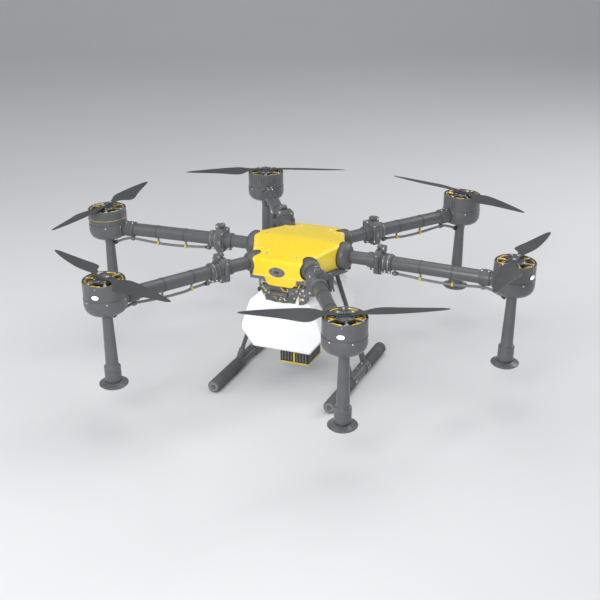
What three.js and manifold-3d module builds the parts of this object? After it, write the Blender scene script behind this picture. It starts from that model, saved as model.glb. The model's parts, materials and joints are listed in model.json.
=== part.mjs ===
// Six-arm agricultural spray drone, millimetres, +Z up.
// Origin: on the ground plane, below the hub axis. The front of the machine faces -Y.
// Each arm carries a motor pod with a spray stem below it, a two-blade folding
// propeller above it and a spinning spray disc at the stem's foot.
import * as THREE from 'three';
import { mergeVertices } from 'three/addons/utils/BufferGeometryUtils.js';
import Module from 'manifold-3d';

const wasm = await Module();
wasm.setup();

// ---------------------------------------------------------------- dimensions
const R = 815;              // hub axis to motor axis
const HUB_Z = 506;          // arm axis height at the hub
const DROOP = 1.2;          // degrees, the folding arm slopes down outwards
const TOE = 1.2;            // degrees, the pod leans further out at its top
const GAP = 0.35;           // clearance between pieces that touch
const SEG = 14;             // sides of a round section

const TUBE_R = 25;          // carbon arm tube
const STUB_R = 24;          // short tube between the hub and the fold joint
const PIN_SIDE = 318;       // fold pin along a side arm
const PIN_DIAG = 350;       // fold pin along a front or rear arm
const PIN_OUT = 45;         // fold pin, beside the arm axis
const PIN_R = 4;
const KNUCKLE_R = 9.5;
const FLANGE_T = 12;        // each half of the fold joint
const FLANGE_H = 46;        // half height of the flange

const POD_R = 76;           // motor pod
const POD_BOTTOM = -46;
const POD_RIM = 79;          // top of the pod wall
const POD_FLOOR = 64;        // floor of the recess that holds the motor bell
const STEM_R0 = 17.5;       // stem under the pod
const STEM_R1 = 23;         // stem above the collar
const COLLAR_R = 29.5;
const COLLAR_TOP = -243;
const COLLAR_BOTTOM = -304;
const DISC_R = 51.5;
const DISC_TOP = COLLAR_BOTTOM - GAP;
const DISC_BOTTOM = -323;

const BELL_R = 69;          // motor bell in the mouth of the pod
const BLADE_Z = 88;         // mid plane of the propeller blades
const BLADE_T = 3.6;
const PIVOT = 24;           // blade pivot to motor axis
const BLADE_L = 317;        // blade pivot to tip

const SKID_X = 232;
const SKID_Y0 = -291;
const SKID_Y1 = 296;
const SKID_R = 24.5;          // foam sleeves
const SKID_MID_R = 20;      // tube between them
const SKID_Z = SKID_R * Math.cos(Math.PI / 16);   // a flat of the sleeve lies on the ground

const HOSE_R = 5;

const FILLER_Y = 212;       // centre of the filler's mouth
const FILLER_H = -140;
const FILLER_TILT = 60;     // degrees from upright

// arm name, azimuth, azimuths of its two blades, +1 for a bulge on the left edge,
// and the side of the arm, seen from above and looking outwards, that its fold pin is on
const ARMS = [
  { name: 'right',       az: 0,      blades: [81.6, -89.0],   hand: 1,  pin: -1 },
  { name: 'rear_right',  az: 57.9,   blades: [-30.3, 163.3],  hand: -1, pin: 1 },
  { name: 'rear_left',   az: 122.1,  blades: [18.0, -151.0],  hand: 1,  pin: 1 },
  { name: 'left',        az: 180,    blades: [90.5, -96.6],   hand: -1, pin: -1 },
  { name: 'front_left',  az: 237.9,  blades: [-21.0, 150.0],  hand: -1, pin: 1 },
  { name: 'front_right', az: 302.1,  blades: [29.0, -158.9],  hand: 1,  pin: 1 },
];

// ------------------------------------------------------------------- helpers
const rad = THREE.MathUtils.degToRad;
const M = () => new THREE.Matrix4();

// A three.js geometry as a closed solid. Triangles that collapsed on an axis are
// dropped and the winding is turned outwards.
function solid(geometry, matrix) {
  let g = geometry.clone();
  g.deleteAttribute('normal');
  g.deleteAttribute('uv');
  if (matrix) g.applyMatrix4(matrix);
  g = mergeVertices(g, 1e-4);
  const p = g.attributes.position.array;
  const idx = g.index.array;
  const tri = [];
  let volume = 0;
  for (let i = 0; i < idx.length; i += 3) {
    const [a, b, c] = [idx[i], idx[i + 1], idx[i + 2]];
    if (a === b || b === c || a === c) continue;
    tri.push(a, b, c);
    const [ax, ay, az, bx, by, bz, cx, cy, cz] = [a, b, c].flatMap(
      (k) => [p[3 * k], p[3 * k + 1], p[3 * k + 2]]);
    volume += ax * (by * cz - bz * cy) + ay * (bz * cx - bx * cz) + az * (bx * cy - by * cx);
  }
  if (volume < 0) for (let i = 0; i < tri.length; i += 3) [tri[i], tri[i + 1]] = [tri[i + 1], tri[i]];
  return new wasm.Manifold(new wasm.Mesh({
    numProp: 3,
    vertProperties: new Float32Array(p),
    triVerts: new Uint32Array(tri),
  }));
}

function geometryOf(manifold) {
  const m = manifold.getMesh();
  const g = new THREE.BufferGeometry();
  g.setAttribute('position', new THREE.BufferAttribute(new Float32Array(m.vertProperties), 3));
  g.setIndex(new THREE.BufferAttribute(new Uint32Array(m.triVerts), 1));
  g.computeVertexNormals();
  return g;
}

const join = (...parts) => parts.reduce((a, b) => a.add(b));
const cut = (a, ...tools) => tools.reduce((x, t) => x.subtract(t), a);

// A box from its lowest and highest corner.
function block(x0, x1, y0, y1, z0, z1) {
  return solid(new THREE.BoxGeometry(x1 - x0, y1 - y0, z1 - z0),
    M().makeTranslation((x0 + x1) / 2, (y0 + y1) / 2, (z0 + z1) / 2));
}

// A solid of revolution about Z from [radius, z] pairs that start and end on the axis.
function turned(profile, seg = SEG) {
  return solid(new THREE.LatheGeometry(profile.map(([r, z]) => new THREE.Vector2(r, z)), seg),
    M().makeRotationX(Math.PI / 2));
}

// The same about X.
const turnedX = (profile, seg = SEG) => turned(profile, seg).rotate([0, 90, 0]);

const cylZ = (r, z0, z1, seg = SEG) => turned([[0, z0], [r, z0], [r, z1], [0, z1]], seg);
const cylX = (r, x0, x1, seg = SEG) => turnedX([[0, x0], [r, x0], [r, x1], [0, x1]], seg);

// A flat outline given as [x, y] points, raised from z0 to z1.
function raised(points, z0, z1) {
  const shape = new THREE.Shape(points.map(([x, y]) => new THREE.Vector2(x, y)));
  return solid(new THREE.ExtrudeGeometry(shape, { depth: z1 - z0, bevelEnabled: false, steps: 1 }),
    M().makeTranslation(0, 0, z0));
}

// A round rod between two points.
function rod(a, b, r, seg = 12) {
  const va = new THREE.Vector3(...a), vb = new THREE.Vector3(...b);
  const d = vb.clone().sub(va);
  const q = new THREE.Quaternion().setFromUnitVectors(new THREE.Vector3(0, 1, 0), d.clone().normalize());
  const m = M().compose(va.clone().add(vb).multiplyScalar(0.5), q, new THREE.Vector3(1, 1, 1));
  return solid(new THREE.CylinderGeometry(r, r, d.length(), seg), m);
}

// A hose along a smooth curve.
function hose(points, r, steps, sides = 8) {
  const curve = new THREE.CatmullRomCurve3(points.map((p) => new THREE.Vector3(...p)), false, 'centripetal');
  const ring = new THREE.Shape();
  for (let i = 0; i < sides; i++) {
    const a = (2 * Math.PI * (i + 0.5)) / sides;
    const [x, y] = [r * Math.cos(a), r * Math.sin(a)];
    if (i) ring.lineTo(x, y); else ring.moveTo(x, y);
  }
  return solid(new THREE.ExtrudeGeometry(ring, { steps, bevelEnabled: false, extrudePath: curve }));
}

const root = new THREE.Group();

function piece(parent, name, manifold, colour, roughness, metalness = 0) {
  const mesh = new THREE.Mesh(geometryOf(manifold),
    new THREE.MeshStandardMaterial({ color: colour, roughness, metalness }));
  mesh.name = name;
  parent.add(mesh);
  return mesh;
}

const DARK = 0x55575a, CARBON = 0x5c5e60, BLADE = 0x3e3f41, YELLOW = 0xf2dc2e,
  WHITE = 0xf3f4f2, BLACK = 0x2b2c2e, METAL = 0x8b8c88, HOSE = 0x77797b, RUBBER = 0x303133;

// ----------------------------------------------------------- central fuselage
// Height of the body features above the ground.
const Z = (h) => 496 + h;

const isSide = (arm) => arm.name === 'left' || arm.name === 'right';

// A tool along one arm direction, at the hub height.
const alongArm = (m, az) => m.rotate([0, 0, az]).translate([0, 0, HUB_Z]);

const hexagon = (fx, sx, fy, sy = 0) => [[-fx, -fy], [fx, -fy], [sx, -sy], [sx, sy], [fx, fy], [-fx, fy], [-sx, sy], [-sx, -sy]];

// Frame: a wide lower deck, a raised hub that carries the arm sockets, and rails for the tank.
let frame = join(
  raised(hexagon(112, 198, 203, 22), Z(-44), Z(-28)),
  raised(hexagon(84, 148, 176, 22), Z(-28.5), Z(28)),
);
const bay = block(-62, 62, -118, 118, Z(-6), Z(40));
frame = cut(frame, bay);
for (const arm of ARMS) {
  const r = isSide(arm) ? 55 : 40;
  frame = cut(frame, alongArm(cylX(r, 148, 260, 16), arm.az));
}
piece(root, 'centre_frame', frame, DARK, 0.6, 0.1);

// Flight controller, in the open bay of the frame.
const controller = join(
  block(-46, 46, -34, 34, Z(-5.6), Z(20)),
  block(-30, 30, -58, -33.9, Z(-5.6), Z(8)),
);
piece(root, 'flight_controller', controller, BLACK, 0.5);

// Canopy: a six-sided shell with a slightly domed lid, open below, arched over the arm sockets.
function canopySolid(inset, z0) {
  const k = 1 - inset / 175;
  const ring = (fx, sx, fy, sy) => hexagon(fx * k, sx * k, fy * k, sy * k);
  // the roof falls from a cross ridge to the front and to the rear
  const roof = (y) => Z(62) - (22 * Math.max(0, Math.abs(y) - 15)) / 203 - inset;
  const levels = [
    [() => z0, ring(97, 174, 218, 20)],
    [(y) => roof(y) - 6, ring(97, 174, 218, 20)],
    [roof, ring(91, 166, 209, 19)],
    [roof, ring(28, 58, 72, 10)],
  ];
  const pts = [], tri = [];
  const n = 8;
  for (const [z, r] of levels) for (const [x, y] of r) pts.push(x, y, z(y));
  for (let l = 0; l + 1 < levels.length; l++) for (let i = 0; i < n; i++) {
    const a = l * n + i, b = l * n + ((i + 1) % n), c = a + n, d = b + n;
    tri.push(a, b, d, a, d, c);
  }
  const cap = (l, up) => {
    for (let i = 1; i + 1 < n; i++) {
      const t = [l * n, l * n + i, l * n + i + 1];
      tri.push(...(up ? t : [t[0], t[2], t[1]]));
    }
  };
  cap(0, false);
  cap(levels.length - 1, true);
  const g = new THREE.BufferGeometry();
  g.setAttribute('position', new THREE.BufferAttribute(new Float32Array(pts), 3));
  g.setIndex(tri);
  return solid(g);
}
let canopy = cut(canopySolid(0, Z(-26)), canopySolid(3.5, Z(-30)));
// The chin: a narrower lip that hangs below the front wall.
canopy = join(canopy,
  solid(new THREE.ExtrudeGeometry(new THREE.Shape([
    new THREE.Vector2(-74, Z(-20)), new THREE.Vector2(-44, Z(-61)),
    new THREE.Vector2(56, Z(-61)), new THREE.Vector2(74, Z(-20))]), { depth: 3.5, bevelEnabled: false, steps: 1 }),
    M().makeRotationX(Math.PI / 2).premultiply(M().makeTranslation(0, -205.5, 0))),
  block(-74, 74, -216, -205.6, Z(-25.5), Z(-20)));
for (const arm of ARMS) {
  const r = isSide(arm) ? 56.5 : 41;
  canopy = cut(canopy, alongArm(cylX(r, isSide(arm) ? 146 : 147.5, 300, 18), arm.az));
}
piece(root, 'canopy', canopy, YELLOW, 0.35);

// Tank: an eight-sided moulding with a saddle in its top for the battery, and a filler neck at the rear.
const tankFront = [[-112, Z(-329)], [112, Z(-329)], [160, Z(-262)], [160, Z(-240)], [126, Z(-142)], [74, Z(-92)], [-74, Z(-92)], [-126, Z(-142)], [-160, Z(-240)], [-160, Z(-262)]];
let tank = solid(new THREE.ExtrudeGeometry(
  new THREE.Shape(tankFront.map(([x, z]) => new THREE.Vector2(x, z))),
  { depth: 370, bevelEnabled: false, steps: 1 }),
  M().makeRotationX(Math.PI / 2).premultiply(M().makeTranslation(0, 185, 0)));
const strutTop = (sx, y) => [sx * 101, y, Z(-46)];
const strutFoot = (sx, y) => [sx * 229, y, Z(-447)];
const STRUTS = [[-38, -58], [84, 94]];     // y at the top and at the foot
const STRUT_R = 8;
const saddleTop = Z(-122);
tank = cut(tank,
  block(-62, 62, -200, 96, saddleTop, Z(-80)),
  // bevelled lower front and rear edges
  rod([-200, -186, Z(-348)], [200, -186, Z(-348)], 28, 4),
  rod([-200, 186, Z(-348)], [200, 186, Z(-348)], 28, 4));
// grooves for the struts
for (const sx of [-1, 1]) for (const [yt, yf] of STRUTS) tank = cut(tank, rod(strutTop(sx, yt), strutFoot(sx, yf), STRUT_R + 3, 12));
// filler neck on the rear shoulder, leaning back
const fillerAt = (m) => m.rotate([-FILLER_TILT, 0, 0]).translate([0, FILLER_Y, Z(FILLER_H)]);
tank = join(tank, fillerAt(cylZ(44, -40, 0, 20)));
piece(root, 'tank', tank, WHITE, 0.3);

const cap = fillerAt(join(
  cylZ(50, GAP, 14, 20),
  block(-34, 34, -6, 6, 13.9, 24),
));
piece(root, 'tank_cap', cap, BLACK, 0.5);

// Battery pack in the saddle, with a pull handle at its front.
const battery = join(
  block(-60, 60, -196, 90, saddleTop + GAP, Z(-64)),
  // front cover, wider than the bay
  solid(new THREE.ExtrudeGeometry(new THREE.Shape([[-74, -66], [-74, -90], [-56, -119], [-24, -131], [24, -131], [56, -119], [74, -90], [74, -66]]
    .map(([x, z]) => new THREE.Vector2(x, Z(z)))), { depth: 11.6, bevelEnabled: false, steps: 1 }),
    M().makeRotationX(Math.PI / 2).premultiply(M().makeTranslation(0, -185.4, 0))),
  block(-34, 34, -208, -196.9, Z(-104), Z(-84)),
);
piece(root, 'battery', battery, DARK, 0.55);

// Pump under the tank.
let pump = block(-60, 60, -56, 78, Z(-435), Z(-329) - GAP);
pump = cut(pump,
  block(-70, -56, -60, 90, Z(-392), Z(-384)), block(56, 70, -60, 90, Z(-392), Z(-384)));
piece(root, 'spray_pump', pump, BLACK, 0.6);

// Landing gear: two splayed struts on each side, tied by a channel, over a skid tube.
for (const [side, sx] of [['left', -1], ['right', 1]]) {
  let legs = join(
    ...STRUTS.map(([yt, yf]) => rod(strutTop(sx, yt), strutFoot(sx, yf), STRUT_R, 10)),
    block(Math.min(sx * 84, sx * 118), Math.max(sx * 84, sx * 118), -54, 100, Z(-54), Z(-44) - GAP),
  );
  legs = cut(legs, block(-300, 300, -300, 300, Z(-44) - GAP, Z(0)));
  const skid = join(
    rod([sx * SKID_X, SKID_Y0, SKID_Z], [sx * SKID_X, SKID_Y1, SKID_Z], SKID_MID_R, 12),
    solid(new THREE.CylinderGeometry(SKID_R, SKID_R, 226, 16),
      M().makeRotationY(Math.PI / 16).premultiply(M().makeTranslation(sx * SKID_X, SKID_Y0 + 113, SKID_Z))),
    solid(new THREE.CylinderGeometry(SKID_R, SKID_R, 176, 16),
      M().makeRotationY(Math.PI / 16).premultiply(M().makeTranslation(sx * SKID_X, SKID_Y1 - 88, SKID_Z))),
  );
  // saddle plate that joins the strut feet above the middle of the skid
  legs = join(legs, block(Math.min(sx * 222, sx * 242), Math.max(sx * 222, sx * 242), -64, 114, SKID_Z + 10, Z(-445)));
  // tees that saddle the middle of the skid
  for (const [, yf] of STRUTS) legs = join(legs, block(Math.min(sx * 212, sx * 252), Math.max(sx * 212, sx * 252), Math.max(yf - 20, -64), Math.min(yf + 20, 114), SKID_Z + 2, Z(-445)));
  legs = cut(legs,
    rod([sx * SKID_X, SKID_Y0 + 220, SKID_Z], [sx * SKID_X, SKID_Y0 + 226 + GAP, SKID_Z], SKID_R + 4, 16),
    rod([sx * SKID_X, SKID_Y0, SKID_Z], [sx * SKID_X, SKID_Y1, SKID_Z], SKID_MID_R + 0.6, 12));
  piece(root, `leg_frame_${side}`, legs, CARBON, 0.5, 0.2);
  piece(root, `skid_${side}`, skid, DARK, 0.7);
}

// ----------------------------------------------------------------------- arms
// Outline of one blade: x from the pivot to the tip, y across, the wide edge at +y.
const bladeOutline = [
  [-11, -5], [-5, -11], [8, -12], [32, -12], [56, -20], [84, -28], [130, -29], [210, -23], [285, -12], [310, -6], [316.5, 0],
  [313, 6], [290, 13], [230, 24], [160, 38], [116, 50], [96, 52], [80, 46], [58, 28], [42, 16], [26, 12], [8, 12], [-5, 11], [-11, 5],
];
const bladeGeometry = (hand) => {
  const shape = new THREE.Shape(bladeOutline.map(([x, y]) => new THREE.Vector2(x, y)));
  const g = new THREE.ExtrudeGeometry(shape, { depth: BLADE_T, bevelEnabled: false, steps: 1 });
  // pitch: the blade twists from flat at its root to its working angle
  const p = g.attributes.position;
  for (let i = 0; i < p.count; i++) {
    const x = p.getX(i), y = p.getY(i);
    const t = THREE.MathUtils.smoothstep(x, 14, 90);
    const pitch = rad(9 * t - 5 * THREE.MathUtils.clamp((x - 90) / 230, 0, 1));
    const lift = 4 * THREE.MathUtils.clamp((x - 40) / 277, 0, 1);
    p.setZ(i, p.getZ(i) - BLADE_T / 2 - y * Math.tan(pitch) + lift);
  }
  if (hand < 0) g.applyMatrix4(M().makeScale(1, -1, 1));
  return g;
};

for (const arm of ARMS) {
  const side = isSide(arm);
  const PIN_S = side ? PIN_SIDE : PIN_DIAG;
  const PIN_Y = PIN_OUT * arm.pin;
  // fixed part, in a level frame that looks along the arm
  const level = new THREE.Group();
  level.position.set(0, 0, HUB_Z);
  level.rotation.z = rad(arm.az);
  root.add(level);

  // Socket boot, short stub tube and the fixed half of the fold joint with its pin.
  const bootProfile = side
    ? [[0, 148.5], [52, 148.5], [54, 160], [54, 178], [50, 192], [41, 202], [30, 207], [0, 207]]
    : [[0, 148.5], [37, 148.5], [38.5, 170], [38.5, 214], [36, 226], [30, 234], [0, 236]];
  let fixed = join(
    turnedX(bootProfile, 16),
    cylX(STUB_R, 200, PIN_S - FLANGE_T + 1),
    cylX(STUB_R + 5, PIN_S - 44, PIN_S - FLANGE_T + 1),
  );
  const plateOutline = [[-26, -FLANGE_H], [22, -FLANGE_H], [36, -34], [PIN_OUT, -30], [PIN_OUT, 30], [36, 34], [22, FLANGE_H], [-26, FLANGE_H], [-38, 34], [-38, -34]]
    .map(([y, z]) => [y * arm.pin, z]);
  // a plate across the arm: outline is [y, z]
  const plate = (s0, s1) => solid(new THREE.ExtrudeGeometry(
    new THREE.Shape(plateOutline.map(([y, z]) => new THREE.Vector2(y, z))),
    { depth: s1 - s0, bevelEnabled: false, steps: 1 }),
    new THREE.Matrix4().set(0, 0, 1, s0, 1, 0, 0, 0, 0, 1, 0, 0, 0, 0, 0, 1));
  const pinAt = (m) => m.translate([PIN_S, PIN_Y, 0]);
  fixed = join(fixed, plate(PIN_S - FLANGE_T, PIN_S - GAP / 2));
  fixed = cut(fixed,
    pinAt(cylZ(KNUCKLE_R + GAP, 13, 60, 12)), pinAt(cylZ(KNUCKLE_R + GAP, -60, -13, 12)));
  fixed = join(fixed,
    pinAt(cylZ(KNUCKLE_R, -13, 13, 12)),
    pinAt(cylZ(PIN_R, -35, 35, 8)));
  piece(level, `arm_socket_${arm.name}`, fixed, DARK, 0.55);

  // folding arm: slopes down a little from the fold joint outwards
  let moving = join(
    plate(PIN_S + GAP / 2, PIN_S + FLANGE_T),
    block(PIN_S - 10, PIN_S + 24, -13, 13, FLANGE_H + GAP, 66),
    block(PIN_S + 1, PIN_S + 24, -13, 13, 20, FLANGE_H + 1),
  );
  moving = cut(moving, pinAt(cylZ(KNUCKLE_R + GAP, -13.4, 13.4, 12)));
  moving = join(moving,
    pinAt(cylZ(KNUCKLE_R, 13.4, 32, 12)), pinAt(cylZ(KNUCKLE_R, -32, -13.4, 12)));
  moving = cut(moving, pinAt(cylZ(PIN_R + 0.7, -60, 60, 8)));
  const slope = (m) => m.translate([-PIN_S, 0, 0]).rotate([0, DROOP, 0]).translate([PIN_S, 0, 0]);
  const tubeSolid = slope(join(
    cylX(32, PIN_S + 8, PIN_S + 50),
    cylX(TUBE_R, PIN_S + 42, 738),
    cylX(TUBE_R + 5, 694, 734),
    block(700, 712, -6, 6, -38, -20),
  ));
  moving = join(moving, cut(tubeSolid, block(0, PIN_S + GAP, -100, 100, -100, 100)));
  // pod frame, relative to the motor axis at the arm height
  const drop = (R - PIN_S) * Math.tan(rad(DROOP));
  const podGroup = new THREE.Group();
  podGroup.position.set(R, 0, -drop);
  podGroup.rotation.y = rad(DROOP + TOE);
  level.add(podGroup);
  // the tube stops short of the pod wall
  const podTool = cylZ(POD_R + 1, -80, 80, 24).rotate([0, DROOP + TOE, 0]).translate([R, 0, -drop]);
  moving = cut(moving, podTool);

  // feed hose, clipped under the tube, from the fold joint to the stem
  const run = [[PIN_S + 48, 0, -41], [PIN_S + 74, 0, -42], [PIN_S + 122, 0, -46], [500, 0, -51], [560, 0, -53], [630, 0, -51], [680, 0, -48], [712, 0, -47], [742, 0, -54], [770, 0, -66], [793, 0, -76]];
  const hoseSolid = hose(run, HOSE_R, 15, 8);
  const hoseClear = hose(run, HOSE_R + 0.4, 15, 8);
  moving = join(moving, block(700, 713, -9, 9, -53, -30));
  moving = join(moving, block(PIN_S + 52, PIN_S + 64, -9, 9, -50, -20));
  moving = cut(moving, hoseClear);
  piece(level, `arm_tube_${arm.name}`, moving, CARBON, 0.5, 0.1);

  // Pod, stem and the collar that holds the spray disc's motor.
  let pod = turned([[0, COLLAR_BOTTOM], [26, COLLAR_BOTTOM], [COLLAR_R, COLLAR_BOTTOM + 5], [COLLAR_R, COLLAR_TOP - 4], [STEM_R1, COLLAR_TOP],
    [STEM_R0, -60], [STEM_R0 + 2, POD_BOTTOM], [34, POD_BOTTOM], [56, -41], [70, -28], [POD_R, -10], [POD_R, POD_RIM - 4], [POD_R - 1.5, POD_RIM], [POD_R - 4, POD_RIM], [POD_R - 4, POD_FLOOR], [0, POD_FLOOR]], 16);
  // the socket that takes the hose end
  const podLocal = (m) => m.translate([-R, 0, drop]).rotate([0, -(DROOP + TOE), 0]);
  pod = cut(pod, podLocal(hoseClear));
  piece(podGroup, `motor_pod_${arm.name}`, pod, DARK, 0.4);
  piece(level, `feed_hose_${arm.name}`, cut(hoseSolid, block(790, 830, -20, 20, -120, 0)), HOSE, 0.6);

  // Motor bell with the blade grips. Its azimuth is the mean line of the two blades.
  const yaw = (deg) => deg - arm.az;
  const [b1, b2] = arm.blades;
  const rel = (((b2 - b1) % 360) + 360) % 360;         // angle from blade 1 to blade 2
  const grip = b1 + (rel - 180) / 2;                    // line through both pivots
  let bell = join(
    turned([[0, POD_FLOOR + GAP], [BELL_R, POD_FLOOR + GAP], [BELL_R, 75], [BELL_R - 5, 78], [34, 80], [30, 84.6], [0, 84.6]], 16),
    cylZ(9.5, 84, 92, 8),
  );
  const grips = [0, 180].map((a) => join(
    cylZ(4, 84, 93, 8).translate([PIVOT, 0, 0]),
    block(-1, PIVOT + 9, -10, 10, 91.6, 95),
  ).rotate([0, 0, a]));
  bell = join(bell, ...grips).rotate([0, 0, yaw(grip)]);
  piece(podGroup, `rotor_${arm.name}`, bell, METAL, 0.45, 0.5);

  // Blades, each on its own pivot bolt.
  [[b1, 0], [b2, 180]].forEach(([tip, flip], i) => {
    const pivotAz = yaw(grip) + flip;
    // the blade's own direction, so that its tip lies at the wanted azimuth
    const want = yaw(tip);
    const off = rad((((want - pivotAz) % 360) + 540) % 360 - 180);
    const swing = off + Math.asin((PIVOT / BLADE_L) * Math.sin(off));
    let blade = solid(bladeGeometry(arm.hand));
    blade = cut(blade, cylZ(4.6, -20, 20, 8));
    blade = blade.rotate([0, 0, pivotAz + THREE.MathUtils.radToDeg(swing)])
      .translate([PIVOT * Math.cos(rad(pivotAz)), PIVOT * Math.sin(rad(pivotAz)), BLADE_Z]);
    piece(podGroup, `blade_${i + 1}_${arm.name}`, blade, BLADE, 0.6);
  });

  // Spray disc.
  const disc = turned([[0, DISC_BOTTOM], [44, DISC_BOTTOM], [DISC_R, DISC_BOTTOM + 6], [DISC_R, DISC_BOTTOM + 9], [30, DISC_TOP], [0, DISC_TOP]], 16);
  piece(podGroup, `spray_disc_${arm.name}`, disc, DARK, 0.45);
}

export default root;
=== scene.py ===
import bpy, bmesh, json, math
import numpy as np
from mathutils import Matrix, Vector
from mathutils.bvhtree import BVHTree


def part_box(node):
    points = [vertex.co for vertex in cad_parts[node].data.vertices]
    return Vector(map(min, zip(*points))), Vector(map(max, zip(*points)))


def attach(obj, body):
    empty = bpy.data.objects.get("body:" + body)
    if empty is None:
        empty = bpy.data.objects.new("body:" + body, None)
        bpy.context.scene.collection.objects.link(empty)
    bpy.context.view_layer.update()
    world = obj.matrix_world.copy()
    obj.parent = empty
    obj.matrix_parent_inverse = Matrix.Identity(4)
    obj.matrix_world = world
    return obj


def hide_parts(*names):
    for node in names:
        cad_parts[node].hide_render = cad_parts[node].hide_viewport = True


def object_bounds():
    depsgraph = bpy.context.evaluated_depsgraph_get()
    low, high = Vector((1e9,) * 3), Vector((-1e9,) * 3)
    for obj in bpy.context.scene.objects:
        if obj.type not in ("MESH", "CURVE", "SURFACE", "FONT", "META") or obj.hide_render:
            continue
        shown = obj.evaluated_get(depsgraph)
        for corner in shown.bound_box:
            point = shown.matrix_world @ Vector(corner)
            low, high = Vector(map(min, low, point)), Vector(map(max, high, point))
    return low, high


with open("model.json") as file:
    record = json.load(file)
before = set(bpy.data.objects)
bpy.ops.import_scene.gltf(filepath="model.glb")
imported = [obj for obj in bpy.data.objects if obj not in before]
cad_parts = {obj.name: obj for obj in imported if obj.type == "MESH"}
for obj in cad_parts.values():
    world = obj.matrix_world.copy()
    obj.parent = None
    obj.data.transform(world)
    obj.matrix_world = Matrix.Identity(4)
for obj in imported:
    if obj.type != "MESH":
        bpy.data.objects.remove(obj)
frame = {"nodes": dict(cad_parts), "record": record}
CAD_LO, CAD_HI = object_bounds()
REC = frame["record"]
JOINTS = {j["name"]: j for j in REC["behaviour"]["joints"]}
NODES = frame["nodes"]
SCENE = bpy.context.scene
COLL = SCENE.collection
MM = 0.001
ARMS = ["right", "rear_right", "rear_left", "left", "front_left", "front_right"]

# ------------------------------------------------------------------ camera first
# The aircraft is seen from the front and its left, a little above.
CAM_AZ, CAM_EL, CAM_LENS = math.radians(21.94), math.radians(22.05), 78.39
back = Vector((math.sin(CAM_AZ) * math.cos(CAM_EL), -math.cos(CAM_AZ) * math.cos(CAM_EL), math.sin(CAM_EL)))
cam_data = bpy.data.cameras.new("camera")
cam_data.lens = CAM_LENS
cam_data.sensor_width = 36.0
cam_data.clip_start = 0.05
cam = bpy.data.objects.new("camera", cam_data)
COLL.objects.link(cam)
cam.location = Vector((1.72187, -4.26870, 2.16746))
cam.rotation_mode = "QUATERNION"
cam.rotation_quaternion = back.to_track_quat("Z", "Y")
SCENE.camera = cam


# ------------------------------------------------------------------ materials
class NT:
    """A small helper for node trees."""

    def __init__(self, name):
        self.mat = bpy.data.materials.new(name)
        self.mat.use_nodes = True
        self.t = self.mat.node_tree
        self.t.nodes.clear()
        self.out = self.n("ShaderNodeOutputMaterial")
        self.p = self.n("ShaderNodeBsdfPrincipled")
        self.l(self.p.outputs[0], self.out.inputs[0])

    def n(self, kind, **kw):
        node = self.t.nodes.new(kind)
        for k, v in kw.items():
            if k.startswith("i_"):
                node.inputs[k[2:].replace("_", " ")].default_value = v
            else:
                setattr(node, k, v)
        return node

    def l(self, a, b):
        self.t.links.new(a, b)

    def coord(self, which="Object"):
        if not hasattr(self, "tc"):
            self.tc = self.n("ShaderNodeTexCoord")
        return self.tc.outputs[which]

    def noise(self, scale, detail=4.0, rough=0.55, src=None, stretch=None):
        v = src or self.coord()
        if stretch:
            m = self.n("ShaderNodeMapping")
            m.inputs["Scale"].default_value = stretch
            self.l(v, m.inputs[0])
            v = m.outputs[0]
        k = self.n("ShaderNodeTexNoise")
        k.inputs["Scale"].default_value = scale
        k.inputs["Detail"].default_value = detail
        k.inputs["Roughness"].default_value = rough
        self.l(v, k.inputs["Vector"])
        return k.outputs["Fac"]

    def ramp(self, fac, stops):
        r = self.n("ShaderNodeValToRGB")
        e = r.color_ramp.elements
        while len(e) > 1:
            e.remove(e[-1])
        for i, (pos, col) in enumerate(stops):
            c = (col, col, col, 1) if isinstance(col, (int, float)) else (*col, 1)
            el = e[0] if i == 0 else e.new(pos)
            el.position = pos
            el.color = c
        self.l(fac, r.inputs[0])
        return r.outputs[0]

    def mix(self, fac, a, b, blend="MIX"):
        m = self.n("ShaderNodeMix", data_type="RGBA", blend_type=blend)
        for sock, v in ((m.inputs[0], fac), (m.inputs[6], a), (m.inputs[7], b)):
            if isinstance(v, (int, float)):
                sock.default_value = v
            elif isinstance(v, tuple):
                sock.default_value = (*v, 1)
            else:
                self.l(v, sock)
        return m.outputs[2]

    def math(self, op, a, b=0.0, c=0.0):
        m = self.n("ShaderNodeMath", operation=op)
        for sock, v in zip(m.inputs, (a, b, c)):
            if isinstance(v, (int, float)):
                sock.default_value = v
            else:
                self.l(v, sock)
        return m.outputs[0]

    def bump(self, height, strength=0.2, dist=0.0005, normal=None):
        b = self.n("ShaderNodeBump")
        b.inputs["Strength"].default_value = strength
        b.inputs["Distance"].default_value = dist
        self.l(height, b.inputs["Height"])
        if normal is not None:
            self.l(normal, b.inputs["Normal"])
        return b.outputs[0]

    def set(self, **kw):
        for k, v in kw.items():
            s = self.p.inputs[k.replace("_", " ")]
            if isinstance(v, (int, float)):
                s.default_value = v
            elif isinstance(v, tuple):
                s.default_value = (*v, 1) if len(v) == 3 and s.type == "RGBA" else v
            else:
                self.l(v, s)
        return self

    def edge(self, low=0.52, high=0.62):
        """Bright only on convex edges."""
        g = self.n("ShaderNodeNewGeometry")
        return self.ramp(g.outputs["Pointiness"], [(low, 0.0), (high, 1.0)])


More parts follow.
